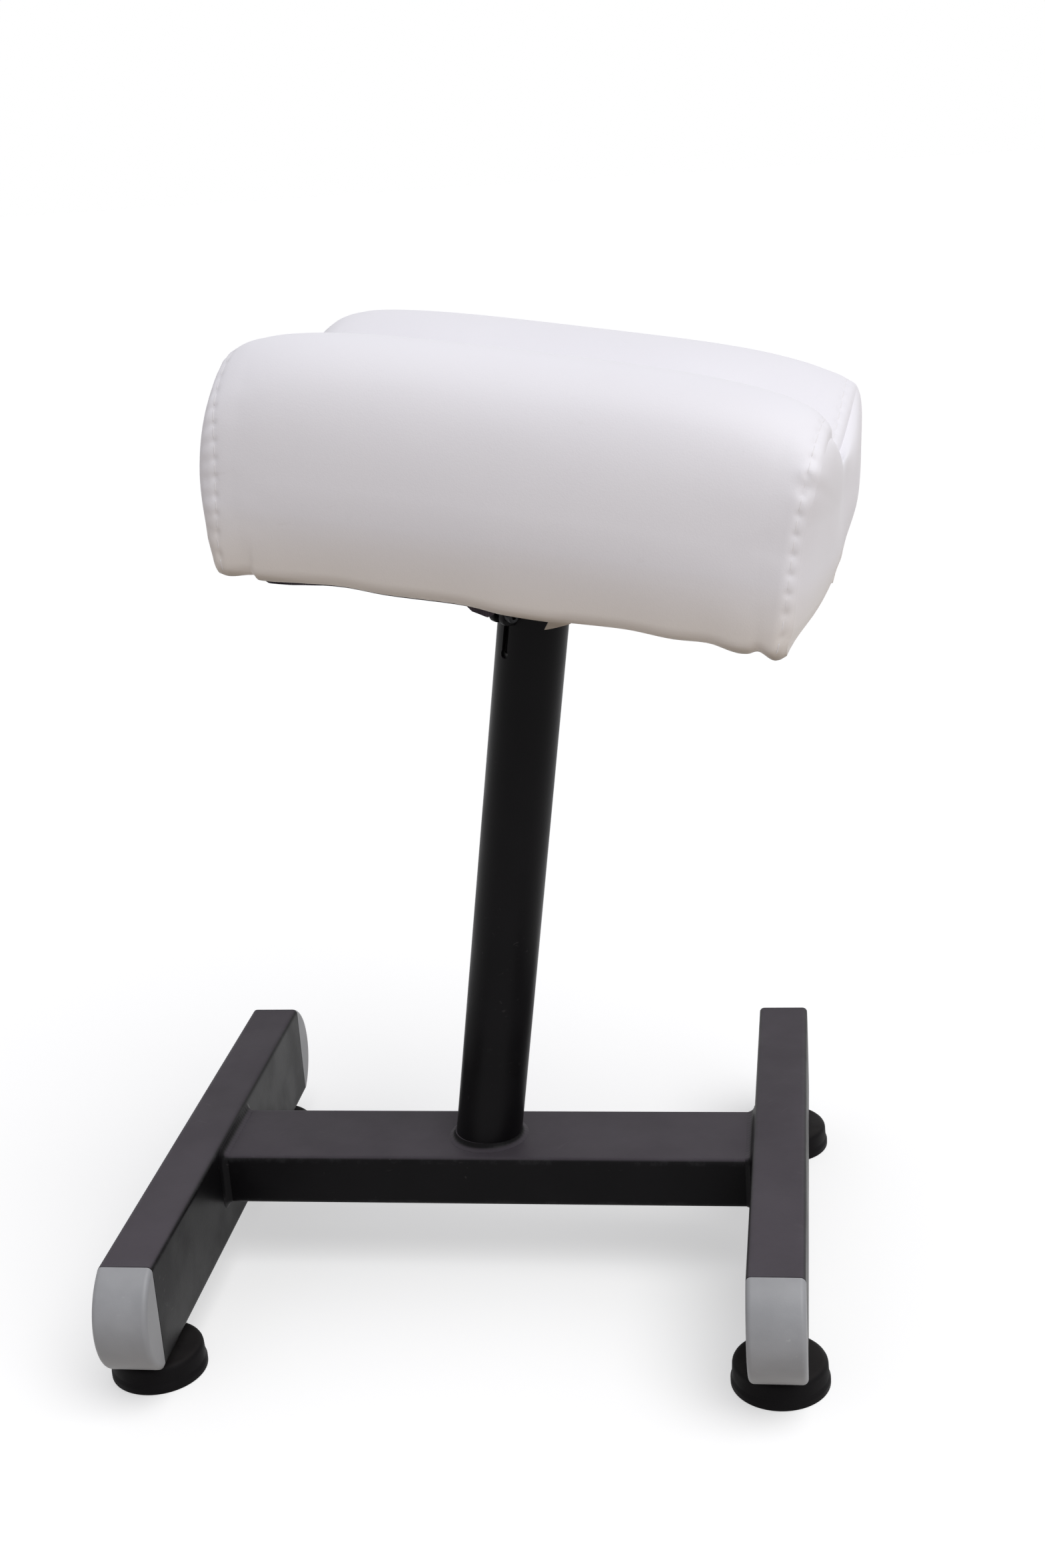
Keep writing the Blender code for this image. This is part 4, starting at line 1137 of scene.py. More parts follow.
def end_cap(side, end):
    """A domed cap whose long edges are as round as the tube's, with its spigot."""
    half = TUBE_HEIGHT / 2
    dome, out = arc_through((GAP, half), (CAP_BULGE, 0), (CAP_FLAT, -half), CAP_STEPS)
    outline = np.vstack([dome, [[GAP, -half]]])
    normals = np.vstack([[[0, 1]], out[1:-1], [CAP_TOE], [[0, -1]]])
    angles = np.linspace(0, pi / 2, CORNER + 1)
    across = TUBE_WIDTH / 2 - TUBE_CORNER * (1 - np.sin(angles))
    drop = TUBE_CORNER * (1 - np.cos(angles))
    across = np.concatenate([-across[::-1], across])
    drop = np.concatenate([drop[::-1], drop])
    flat = outline[:, None, :] - normals[:, None, :] * drop[None, :, None]
    points = np.concatenate([flat, np.broadcast_to(across[None, :, None], (*flat.shape[:2], 1))], axis=-1)
    shell = closed(grid("dome", points, close_rows=True), fill=True)

    high = TUBE_HEIGHT - 2 * (TUBE_WALL + GAP)
    wide = TUBE_WIDTH - 2 * (TUBE_WALL + GAP)
    outer, _ = rounded(high, wide, TUBE_CORNER / 2)
    inner, _ = rounded(high - 2 * CAP_WALL, wide - 2 * CAP_WALL, TUBE_CORNER / 4)
    rings = ((outer, -CAP_SPIGOT), (outer, CAP_WALL), (inner, CAP_WALL), (inner, -CAP_SPIGOT))
    sleeve = [np.column_stack([np.full(len(ring), level), ring]) for ring, level in rings]
    spigot = closed(grid("spigot", sleeve, close_rows=True, close_columns=True))
    at = Matrix.Translation((SIDES[side] * LEG_X, ENDS[end] * LEG_LENGTH / 2, LEG_BOTTOM + half))
    at = BASE_FRAME @ at @ Matrix(((0, 0, ENDS[end], 0), (ENDS[end], 0, 0, 0), (0, 1, 0, 0), (0, 0, 0, 1)))
    name = f"{side}_{end}"
    piece(f"end_cap_{name}", joined("cap", shell, spigot), at, "base", "grey_plastic", [f"cap_{name}"])


# Levelling feet

def foot(side, end):
    """A rubber pad with a soft rim and a flared lip, and its threaded stud."""
    at = BASE_FRAME @ Matrix.Translation((SIDES[side] * LEG_X, ENDS[end] * FOOT_Y, 0))
    bore = STUD_RADIUS + GAP
    floor = STUD_LOW.z - GAP
    wall_ease, rim_ease, sole_ease = LIP_EASES
    profile = eased([
        (0, floor, 0), (bore, floor, 0), (bore, PAD_HEIGHT, PAD_MOUTH),
        (PAD_RADIUS - PAD_TAPER, PAD_HEIGHT, PAD_EDGE), (PAD_RADIUS, PAD_LIP_HEIGHT + LIP_RISE, wall_ease),
        (PAD_LIP_RADIUS, PAD_LIP_HEIGHT, rim_ease), (PAD_LIP_RADIUS, 0, sole_ease),
        (PAD_RADIUS - SOLE_RIM[0], 0, SOLE_EASE), (PAD_RADIUS - SOLE_RIM[1], SOLE_DEPTH, SOLE_EASE),
        (0, SOLE_DEPTH, 0),
    ], ring=False)
    name = f"{side}_{end}"
    body = f"foot_{name}"
    piece(f"rubber_pad_{name}", turned("pad", profile), at, body, "black_rubber", [f"foot_pad_{name}"])
    mesh = threaded("stud", STUD_RADIUS, STUD_PITCH, STUD_LOW.z, STUD_HIGH.z)
    piece(f"threaded_stud_{name}", mesh, at, body, "zinc", [f"foot_stud_{name}"])


def fasteners(mesh, places, seed):
    """Copies of one fastener at places, turned by chance."""
    points = path_mesh("places", [(x, y, 0) for x, y in places])
    return grown(points, FASTENERS, Fastener=stand_in(mesh), Seed=seed, Finish=FINISHES["zinc"])


def lock_nuts():
    """The four nuts under the legs."""
    nut = hexagon_nut("lock_nut", NUT_FLATS, STUD_RADIUS + GAP, NUT_LOW.z, NUT_HIGH.z)
    mesh = fasteners(nut, [(x * LEG_X, y * FOOT_Y) for x in SIDES.values() for y in ENDS.values()], NUT_SEED)
    nodes = [f"lock_nut_{side}_{end}" for side in SIDES for end in ENDS]
    piece("lock_nuts", smooth(mesh, NUT_SHARP), BASE_FRAME, "base", "zinc", nodes)


# Post and clamp

def post():
    """The leaning tube, flat on the crossbar, with its slit ending in a round relief hole."""
    columns = np.linspace(0, 1, ROUND + 1)
    slit_low = POST_LENGTH - SLIT_LENGTH
    hole_low = slit_low - RELIEF_RADIUS
    meet = slit_low + sqrt(RELIEF_RADIUS ** 2 - (SLIT_WIDTH / 2) ** 2)
    hole = slit_low - RELIEF_RADIUS * np.cos(np.linspace(0, pi, RELIEF_ROWS))
    first, under_hole, under_rim = POST_RINGS
    levels = np.concatenate([
        np.linspace(first, hole_low - under_hole, POST_ROWS), hole[hole < meet],
        np.linspace(meet, POST_LENGTH - under_rim, SLIT_ROWS), [POST_LENGTH - TUBE_EASE, POST_LENGTH],
    ])
    around = columns * 2 * pi + SLIT_AZIMUTH
    rows = [polar(POST_RADIUS, around, POST_RADIUS * np.cos(around) * tan(POST_LEAN))]
    marks = [0 * columns]
    for level in levels:
        opening = 0.0
        if level >= hole_low:
            opening = sqrt(max(RELIEF_RADIUS ** 2 - (level - slit_low) ** 2, 0))
        if level >= meet:
            opening = SLIT_WIDTH / 2
        start = opening / POST_RADIUS
        around = start + columns * (2 * pi - 2 * start) + SLIT_AZIMUTH
        rows.append(polar(POST_RADIUS - (TUBE_EASE if level == POST_LENGTH else 0), around, level))
        rim = np.full(len(columns), float(level > POST_LENGTH - RIM_WEAR))
        if opening:
            rim[[0, -1]] = 1
        marks.append(rim)
    mesh = grid("post_tube", rows)
    mark(mesh, "edge", np.concatenate(marks))
    mesh = walled(facing(mesh, lambda point: Vector((point.x, point.y, 0))), POST_WALL)
    piece("post_tube", mesh, POST_FRAME, "base", "black_paint", ["post"])


def clamp():
    """Two lugs beside the slit, and the screw and nut that draw them together."""
    low = LUG_TOP - LUG_HEIGHT
    inner = sqrt(POST_RADIUS ** 2 - (SLIT_WIDTH / 2 + LUG_THICKNESS) ** 2) - LUG_ROOT
    corners = [
        (inner, low, 0), (LUG_END, low, LUG_ROUND), (LUG_END, LUG_TOP, LUG_ROUND), (inner, LUG_TOP, 0)
    ]
    hole = circle(CLAMP_SCREW_RADIUS + GAP, CLAMP_SCREW_PLACE, LUG_TOP - LUG_HEIGHT / 2, THREAD_ROUND)
    for side, sign in SIDES.items():
        mesh = plate("lug", [eased(corners), hole], LUG_THICKNESS, LUG_EASE)
        mark(mesh, "edge", np.full(len(mesh.vertices), LUG_WEAR))
        at = SLIT_FRAME @ Matrix.Translation((0, sign * (SLIT_WIDTH + LUG_THICKNESS) / 2, 0))
        at = at @ Matrix.Rotation(pi / 2, 4, "X")
        piece(f"lug_{side}", mesh, at, "base", "black_paint", [f"clamp_lug_{side}"])

    far = SLIT_WIDTH / 2 + LUG_THICKNESS + GAP
    head = -far - CLAMP_HEAD_HEIGHT
    tail = far + CLAMP_NUT_HEIGHT + CLAMP_TAIL
    shank = threaded("shank", CLAMP_SCREW_RADIUS, CLAMP_PITCH, -far - CLAMP_OVERLAP, tail, CLAMP_ROUND)
    seat_ease, top_ease = CLAMP_HEAD_EASES
    profile = eased([
        (0, -far, 0), (CLAMP_HEAD_RADIUS, -far, seat_ease), (CLAMP_HEAD_RADIUS, head, top_ease),
        (0, head, 0),
    ], ring=False)
    socket_radius = CLAMP_SOCKET_FLATS / sqrt(3)
    socket = rod("socket", socket_radius, head - CLAMP_SOCKET_DEPTH, head + CLAMP_SOCKET_DEPTH, steps=6)
    cap = cut(knurled(turned("cap", profile), CLAMP_HEAD_RADIUS), socket)
    screw = joined("clamp", cap, shank)
    piece("clamp_cap_screw", screw, SCREW_FRAME, "clamp_screw", "zinc", ["clamp_screw"], "dark_steel")
    nut = hexagon_nut("nut", CLAMP_NUT_FLATS, CLAMP_SCREW_RADIUS + GAP, far, far + CLAMP_NUT_HEIGHT)
    piece("clamp_hex_nut", nut, SCREW_FRAME, "base", "zinc", ["clamp_nut"], "dark_steel")


def knurled(mesh, radius):
    """Fine flutes on a turned head's rim."""
    for vert in mesh.vertices:
        if vert.co.xy.length > KNURL_RIM * radius:
            flute = abs(sin(KNURLS * atan2(vert.co.y, vert.co.x)))
            vert.co.xy *= 1 - KNURL_DEPTH * flute
    return mesh


# Stem and plate

def stem():
    """The tube that slides and turns in the post, and its bead under the plate."""
    inner = STEM_RADIUS - STEM_WALL
    top_ease, low_ease, inner_ease = STEM_EASES
    profile = eased([
        (STEM_RADIUS, STEM_TOP, top_ease), (STEM_RADIUS, STEM_BOTTOM, low_ease),
        (inner, STEM_BOTTOM, inner_ease), (inner, STEM_TOP, top_ease),
    ])
    piece("stem_tube", turned("stem", profile, ring=True), HEAD_FRAME, "head", "black_paint", ["stem"])
    down = HEAD_FRAME @ Matrix.Translation((0, 0, STEM_TOP)) @ Matrix.Rotation(pi, 4, "X")
    mesh = bead(circle(STEM_RADIUS, steps=ROUND), STEM_WELD_LEG)
    piece("stem_weld_bead", mesh, down, "head", "black_paint", ["stem_weld"])


def mounting():
    """The steel plate under the board and its four pan-head screws."""
    reach = PLATE_SIDE / 2 - SCREW_INSET
    places = [(x * reach, y * reach) for x, y in CORNERS]
    outlines = [oblong(PLATE_SIDE, PLATE_SIDE, PLATE_CORNER, steps=12)]
    outlines += [circle(SCREW_RADIUS + GAP, x, y) for x, y in places]
    mesh = plate("plate", outlines, PLATE_TOP - PLATE_BOTTOM, PLATE_EASE)
    at = HEAD_FRAME @ Matrix.Translation((0, 0, (PLATE_BOTTOM + PLATE_TOP) / 2))
    piece("steel_plate", mesh, at, "head", "black_paint", ["mounting_plate"])

    under = PLATE_BOTTOM - GAP
    tip = under - SCREW_HEAD_HEIGHT
    seat_ease, tip_ease = SCREW_HEAD_EASES
    profile = eased([
        (0, SCREW_TAIL, 0), (SCREW_RADIUS, SCREW_TAIL, SCREW_TIP_EASE), (SCREW_RADIUS, under, 0),
        (SCREW_HEAD_RADIUS, under, seat_ease), (SCREW_HEAD_RADIUS * SCREW_HEAD_TAPER, tip, tip_ease),
        (0, tip, 0),
    ], ring=False)
    arms = []
    for length, width in ((RECESS_LENGTH, RECESS_WIDTH), (RECESS_WIDTH, RECESS_LENGTH)):
        arm = plate("recess", [oblong(length, width)], RECESS_DEPTH, RECESS_EASE)
        arms.append(placed(arm, Matrix.Translation((0, 0, tip))))
    mesh = fasteners(cut(turned("screw", profile, steps=SMALL_ROUND), *arms), places, SCREW_SEED)
    nodes = [f"plate_screw_{number}" for number in range(1, 5)]
    piece("plate_screws", smooth(mesh), HEAD_FRAME, "head", "zinc", nodes)


# Cushion

def smooth_line(points, facets):
    """A curve through the points, with the tangent at each taken from its neighbours."""
    line = []
    for i, count in enumerate(facets):
        before = points[max(i - 1, 0)]
        start, end = points[i], points[i + 1]
        after = points[min(i + 2, len(points) - 1)]
        reach = (end - start).length / 3
        leave = start + (end - before).normalized() * reach
        arrive = end - (after - start).normalized() * reach
        line += interpolate_bezier(start, leave, arrive, end, count + 1)[:-1]
    return line + [points[-1]]


def end_fall(along, fall):
    """How far a ridge has come down at along, with a lip that turns over at its end."""
    drop, drop_lean, lip, lip_lean = fall
    drop = drop * (1 + drop_lean * along) * along ** FALL_POWER
    return drop + lip * (1 + lip_lean * along) * along ** LIP_POWER


def section_points(along, inset=0.0):
    """The points that the cushion's section runs through, front hem to rear hem, as (depth, height)."""
    near_end = abs(along) ** CROWN_POWER
    half = CUSHION_DEPTH / 2 - inset
    swell = WALL_SWELL + (END_WALL_SWELL - WALL_SWELL) * near_end
    left = near_end if along < 0 else 0
    shoulder = SHOULDER_HEIGHT - SHOULDER_FALL * near_end - LEFT_FALL * left - inset
    top = CUSHION_HEIGHT - inset
    front, rear = [
        [
            Vector((RIDGE_SPACING / 2, top - end_fall(along, fall))),
            Vector((half - LEFT_IN * left, shoulder)),
            Vector((half + swell, shoulder / 2)),
            Vector((half + EDGE_LEAN, EDGE_ROLL)),
            Vector((half - EDGE_ROLL, 0)),
            Vector((half - HEM, 0)),
        ]
        for fall in (FRONT_FALL, REAR_FALL)
    ]
    fall = (end_fall(along, FRONT_FALL) + end_fall(along, REAR_FALL)) / 2
    channel = Vector((0, top - CHANNEL_DEPTH - fall))
    return [Vector((-p.x, p.y)) for p in reversed(front)] + [channel] + rear


def facet_counts(facet):
    """Facets in each stretch of the section, so that all are about one length."""
    points = section_points(0)
    return [max(ceil((end - start).length / facet), 3) for start, end in zip(points, points[1:])]


def seam_reach(depth, height, side):
    """How far from the cushion's middle a side's seam lies, at depths and heights over the bottom edge."""
    rearward = np.clip(depth / RIDGE_SPACING + 0.5, 0, 1)
    pull = REAR_PULL * np.clip(height / CUSHION_HEIGHT, 0, 1) ** 2 * rearward
    return soft_curve(SEAM_LINES[side], height) - pull


def wrap_grid(alongs, facet, inset=0.0):
    """The wrap's points by section and length, in the head's frame, and each row's place in the section."""
    counts = facet_counts(facet)
    columns = []
    for along in alongs:
        depth, height = np.array(smooth_line(section_points(along, inset), counts)).T
        reach = seam_reach(depth, height, 1 if along > 0 else -1)
        columns.append(np.column_stack([along * reach, depth, CUSHION_BOTTOM + height]))
    stations = [i + k / count for i, count in enumerate(counts) for k in range(count)] + [len(counts)]
    return np.array(columns).transpose(1, 0, 2), np.array(stations)


def grid_normals(points):
    """Outward normals of the wrap's grid."""
    across = np.gradient(points, axis=0)
    along = np.gradient(points, axis=1)
    normals = np.cross(along, across)
    return normals / np.linalg.norm(normals, axis=-1, keepdims=True)


def resampled(field, stations, wanted):
    """A field known at stations along its first axis, at the wanted ones, by a smooth cubic."""
    place = np.interp(wanted, stations, np.arange(len(stations)))
    i = np.minimum(place.astype(int), len(stations) - 2)
    t = (place - i)[:, None, None]
    p = [field[np.clip(i + k, 0, len(field) - 1)] for k in (-1, 0, 1, 2)]
    curve = (2 * p[0] - 5 * p[1] + 4 * p[2] - p[3]) * t ** 2 + (3 * p[1] - p[0] - 3 * p[2] + p[3]) * t ** 3
    return (2 * p[1] + (p[2] - p[0]) * t + curve) / 2


def off_hem(stations, start):
    """0 on the hems, and from there up to 1 over the stretch of the section after start."""
    return np.clip(np.minimum(stations, stations[-1] - stations) - start, 0, 1)[:, None]


def filled(alongs, stations):
    """How far the filling moves the wrap, at the wanted places: cloth under pressure, held at its hems and
    seams, which the foam keeps from sinking in."""
    press_alongs = np.linspace(-1, 1, PRESS_COLUMNS + 1)
    outside, press_stations = wrap_grid(press_alongs, PRESS_FACET)
    normals = grid_normals(outside)
    free = off_hem(press_stations, PRESS_HEM) * np.clip((1 - np.abs(press_alongs)) * PRESS_SEAM, 0, 1)
    start = outside - normals * PRESS_INSET * free[..., None]
    obj = stand_in(grid("filling", start))
    held = obj.vertex_groups.new(name="held")
    held.add(np.flatnonzero(free.ravel() == 0).tolist(), 1.0, "REPLACE")
    cloth = obj.modifiers.new("cloth", "CLOTH")
    cloth.settings.vertex_group_mass = "held"
    for name, value in CLOTH.items():
        setattr(cloth.settings, name, value)
    cloth.settings.effector_weights.gravity = 0
    cloth.collision_settings.use_collision = False
    cloth.point_cache.frame_end = PRESS_FRAMES
    scene = bpy.context.scene
    for number in range(1, PRESS_FRAMES + 1):
        scene.frame_set(number)
    pressed = np.empty(outside.size, np.float32)
    graph = bpy.context.evaluated_depsgraph_get()
    obj.evaluated_get(graph).data.vertices.foreach_get("co", pressed)
    scene.frame_set(1)
    bpy.data.objects.remove(obj)
    move = pressed.reshape(outside.shape) - start
    out = softened(np.clip((move * normals).sum(axis=-1), 0, PRESS_CAP), PRESS_SOFTEN)
    move = normals * out[..., None] + start - outside
    move = resampled(move, press_stations, stations)
    return resampled(move.transpose(1, 0, 2), press_alongs, alongs).transpose(1, 0, 2)


def softened(field, rounds):
    """A field with each value drawn towards its neighbours."""
    for _ in range(rounds):
        wide = np.pad(field, 1, mode="edge")
        beside = wide[:-2, 1:-1] + wide[2:, 1:-1] + wide[1:-1, :-2] + wide[1:-1, 2:]
        field = field / 2 + beside / 8
    return field


def soft_curve(points, wanted):
    """A smooth line through (place, value) points."""
    places, values = np.array(points).T
    return resampled(values[:, None, None], places, wanted)[:, 0, 0]


def gathers(points):
    """Uneven fullness over the wrap, from -1 to 1."""
    flat = points.reshape(-1, 3) / GATHER_SIZE
    values = np.array([noise.noise(Vector(point)) for point in flat])
    return values.reshape(points.shape[:2])


def sewn_relief(inset, run, points, sewn, turn):
    """How far the wrap stands out near a seam: its turn towards the seam, the seam's valley, the strip that
    puffs between stitches, the furrow of the topstitch, its needle holes, and gathers that fade away."""
    step = np.cos(2 * pi * run / STITCH_PITCH)
    upward = np.clip(grid_normals(points)[..., 2], 0, 1)
    roll = turn * np.clip(1 - inset / ROLL_REACH, 0, 1) ** 2 * (1 - (1 - ROLL_TOP) * upward)
    valley = SEAM_DEPTH * np.exp(-(inset / SEAM_WIDTH) ** 2)
    full, swing = PUFF_LEVELS
    puff = STRIP_PUFF * np.sin(pi * np.clip(inset / sewn, 0, 1)) * (full - swing * step)
    furrow = FURROW_DEPTH * np.exp(-((inset - sewn) / FURROW_WIDTH) ** 2)
    from_hole = np.arccos(np.clip(step, -1, 1)) / (2 * pi) * STITCH_PITCH
    hole = HOLE_DEPTH * np.exp(-((inset - sewn) / HOLE_WIDTH) ** 2 - (from_hole / HOLE_LENGTH) ** 2)
    fade = np.exp(-inset / GATHER_REACH) * np.clip(inset / GATHER_START, 0, 1)
    return puff + GATHER_DEPTH * gathers(points) * fade - roll - valley - furrow - hole


def seam_columns():
    """Places along the cushion's length from -1 to 1, close together near the seams."""
    step = SEAM_STEP
    insets = [0.0]
    while insets[-1] < SEAM_REACH - COLUMN_STEP:
        insets.append(insets[-1] + step)
        if insets[-1] > FINE_REACH:
            step = min(step * COLUMN_GROWTH, COLUMN_STEP)
    near = np.array(insets[:-1]) / SEAM_REACH
    return np.concatenate([near - 1, [0.0], 1 - near[::-1]])


def puckered(puckers, inset, points):
    """How far single puckers stand out near the front of a seam."""
    height = points[..., 2] - CUSHION_BOTTOM
    relief = np.zeros(height.shape)
    for place, level, out, width, tall in puckers:
        relief += out * np.exp(-((inset - place) / width) ** 2 - ((height - level) / tall) ** 2)
    return np.where(points[..., 1] < -RIDGE_SPACING / 2, relief, 0)


def cushion_shape():
    """The filled and sewn wrap: its points in the head's frame, rows from front hem to rear hem, and the
    points and normals of the topstitch beside each seam, stitch by stitch."""
    alongs = seam_columns()
    points, stations = wrap_grid(alongs, VINYL_FACET)
    points = points + filled(alongs, stations)
    run = lengths(points[:, 1])
    relief = 0
    sewn = {}
    for sign in SIDES.values():
        inset = (1 - sign * alongs)[None, :] * SEAM_REACH
        column = np.argmin(np.abs(inset[0] - ROLL_REACH / 2))
        sewn[sign] = soft_curve(STITCH_LINES[sign], points[:, column, 2] - CUSHION_BOTTOM)
        near = sewn_relief(inset, run[:, None], points, sewn[sign][:, None], ROLL_DEPTHS[sign])
        relief = relief + near * (inset < SEAM_REACH) + puckered(PUCKERS[sign], inset, points)
    relief = relief * off_hem(stations, 1)
    points = hung(points + grid_normals(points) * relief[..., None], stations)
    holes = np.arange(run[STITCH_START], run[-STITCH_START], STITCH_PITCH) // STITCH_PITCH
    rows = np.interp((holes + 0.5) * STITCH_PITCH, run, np.arange(len(run)))
    normals = grid_normals(points)
    stitches = []
    for sign, inset in sewn.items():
        places = sign * (1 - inset / SEAM_REACH)
        stitches.append([between(on_rows(field, alongs, places), rows) for field in (points, normals)])
    return points, stitches


def lengths(line):
    """How far along a line each of its points lies."""
    return np.concatenate([[0], np.cumsum(np.linalg.norm(np.diff(line, axis=0), axis=-1))])


def on_rows(field, alongs, places):
    """A field of the wrap at one place along the cushion for each of its rows."""
    return np.array([
        [np.interp(place, alongs, values) for values in row.T] for row, place in zip(field, places)
    ])


def between(line, rows):
    """Points of a line at rows that may lie between its own."""
    low = np.minimum(rows.astype(int), len(line) - 2)
    share = (rows - low)[:, None]
    return line[low] * (1 - share) + line[low + 1] * share


def hung(points, stations):
    """The wrap with its lower edge hanging unevenly under the board."""
    height = points[..., 2] - CUSHION_BOTTOM
    turn = np.where(points[..., 1] < 0, 1, -1)
    hang = edge_hang((points[..., 0] * turn).ravel()).reshape(height.shape)
    points = points.copy()
    points[..., 2] -= hang * eased_step(1 - height / HANG_FADE) * off_hem(stations, 0)
    return points


def edge_hang(along):
    """How far the front lower edge hangs, along the cushion from its middle."""
    return HANG_LEAST + soft_curve(FRONT_HANG, along)


def mark_painted_bounce_and_shade(mesh, points):
    """Marks the part of the vinyl that is turned towards the underside, for a painted warm bounce light
    there, and what hangs below the bottom edge, for painted shade.
    """
    height = points[..., 2] - CUSHION_BOTTOM
    painted_warm_bounce = np.clip(1 - (height - UNDER_START) / UNDER_FADE, 0, 1)
    mark(mesh, "under", painted_warm_bounce + UNDER_PAINTED_SHADE * np.clip(-height / UNDER_DROP, 0, 1))


def wrap_piece(points):
    mesh = grid("wrap", points)
    # painted warm bounce light near the bottom edge, and painted shade below it
    mark_painted_bounce_and_shade(mesh, points)
    return piece("vinyl_wrap", walled(mesh, VINYL), HEAD_FRAME, "head", "white_vinyl", ["cover_wrap"])


def eased_step(value):
    """From 0 to 1 without a kink."""
    value = np.clip(value, 0, 1)
    return value ** 2 * (3 - 2 * value)


def end_swell(depth, height, share):
    """How far an end panel stands out from its seam: two lobes, the rear one slack, and a valley between."""
    valley = np.exp(-(depth / VALLEY_WIDTH) ** 2) * eased_step((height - VALLEY_START) / VALLEY_RISE)
    rear = eased_step(depth / END_REAR)
    slack = END_SLACK * rear * eased_step(1 - height / SLACK_HEIGHT)
    full = END_FULL * rear * np.exp(-((height - FULL_HEIGHT) / FULL_SPREAD) ** 2)
    turn = END_TURN_LOW + (1 - END_TURN_LOW) * eased_step(height / END_TURN_RISE)
    turn = turn * (1 - np.exp((share - 1) / END_TURN_SHARE))
    return (END_SWELL * (1 + full - slack) - END_VALLEY * valley) * (1 - share ** 2) + END_TURN * turn


def end_hem(sign, low):
    """The part of an end panel that is folded in under the board, from its lower edge."""
    turn = np.linspace(0, pi / 2, FOLD_STEPS)[:, None]
    radius = END_FOLD * eased_step((1 - np.abs(np.linspace(-1, 1, len(low)))) / FOLD_FADE)
    fold = np.repeat(low[None], FOLD_STEPS, axis=0)
    fold[..., 0] -= sign * radius * (1 - np.cos(turn))
    fold[..., 2] -= radius * np.sin(turn)
    inner = fold[-1].copy()
    inner[:, 0] = sign * END_HEM
    over_wrap = eased_step((np.abs(inner[:, 1]) - CUSHION_DEPTH / 2 + HEM + HEM_RAMP) / HEM_RAMP)
    inner[:, 2] = CUSHION_BOTTOM + HEM_OVER * over_wrap
    inward = np.linspace(0, 1, HEM_STEPS + 1)[1:, None, None]
    shares = np.concatenate([inward, inward, eased_step(2 * inward)], axis=2)
    return np.concatenate([fold, fold[-1] + (inner - fold[-1]) * shares])


def end_panel(side, seam):
    """A sewn end panel, rounder towards its middle than its seam is, with its hem."""
    sign = SIDES[side]
    across = np.linspace(-1, 1, END_LOW + 2)
    low = np.linspace(seam[-1], seam[0], END_LOW + 2)
    low[:, 0] += sign * LOW_BOW * (1 - across ** 2)
    low[:, 2] += LOW_LIFT * (1 - across ** LIFT_POWER)
    loop = np.vstack([seam, low[1:-1]])
    seam_out = np.abs(loop[:, 0]) - seam_reach(loop[:, 1], loop[:, 2] - CUSHION_BOTTOM, sign)
    middle = np.array([0, CUSHION_BOTTOM + SHOULDER_HEIGHT / 2])
    away = loop[:, 1:] - middle
    reach = np.linalg.norm(away, axis=1)
    oval = reach / np.linalg.norm(away / END_OVAL, axis=1)
    rings = []
    for share in 1 - np.linspace(0, 1, END_RINGS) ** RING_POWER:
        ring = loop.copy()
        ring[:, 1:] = middle + away * (share * (oval + (reach - oval) * share ** 2) / reach)[:, None]
        depth, height = ring[:, 1], ring[:, 2] - CUSHION_BOTTOM
        out = seam_reach(depth, height, sign) + seam_out * share ** 4 + end_swell(depth, height, share)
        ring[:, 0] = sign * out
        rings.append(ring)
    sheets = []
    for points, ring in ((np.array(rings), True), (end_hem(sign, low), False)):
        sheets.append(grid("end", points, close_columns=ring))
        # painted warm bounce light near the bottom edge, and painted shade below it
        mark_painted_bounce_and_shade(sheets[-1], points)
    mesh = walled(facing(joined("end", *sheets), lambda point: Vector((sign, 0, 0))), VINYL)
    return piece(f"vinyl_end_{side}", mesh, HEAD_FRAME, "head", "white_vinyl", [f"cover_end_{side}"])


def hanging(name, top, bottom, thickness):
    """A thin strip between two lines, each given as along, depth and height over the bottom edge."""
    down = np.linspace(0, 1, HANG_STEPS)[:, None, None]
    points = np.stack(top, axis=-1) * (1 - down) + np.stack(bottom, axis=-1) * down
    points[..., 2] += CUSHION_BOTTOM
    mesh = grid(name, points)
    # painted shade on the part that hangs below the bottom edge
    mark_painted_bounce_and_shade(mesh, points)
    return walled(mesh, thickness)


def tuck():
    """A fold of the hem that shows under the front edge, before the post."""
    top, bottom, drop = [np.linspace(*ends, TUCK_STEPS) for ends in TUCK]
    root = (top, np.full(TUCK_STEPS, TUCK_DEPTH), TUCK_ROOT - edge_hang(top))
    tip = (bottom, TUCK_DEPTH + TUCK_LEAN * drop, -edge_hang(bottom) - drop)
    piece("hem_tucks", hanging("tuck", root, tip, VINYL), HEAD_FRAME, "head", "white_vinyl")


def lining_edge():
    """The lining's edge where it shows under the front of the vinyl, a dark strip that also paints the shade
    under the vinyl's roll.
    """
    along = np.linspace(LINING_EDGE[0][0], LINING_EDGE[-1][0], LINING_EDGE_STEPS)
    depth = np.full(LINING_EDGE_STEPS, LINING_EDGE_DEPTH)
    drop = np.interp(along, *np.array(LINING_EDGE).T)
    top = (along, depth, np.full(LINING_EDGE_STEPS, LINING_BOTTOM - CUSHION_BOTTOM))
    mesh = hanging("lining_edge", top, (along, depth, -edge_hang(along) - drop), LINING)
    return piece("lining_edge", mesh, HEAD_FRAME, "head", "lining_cloth")


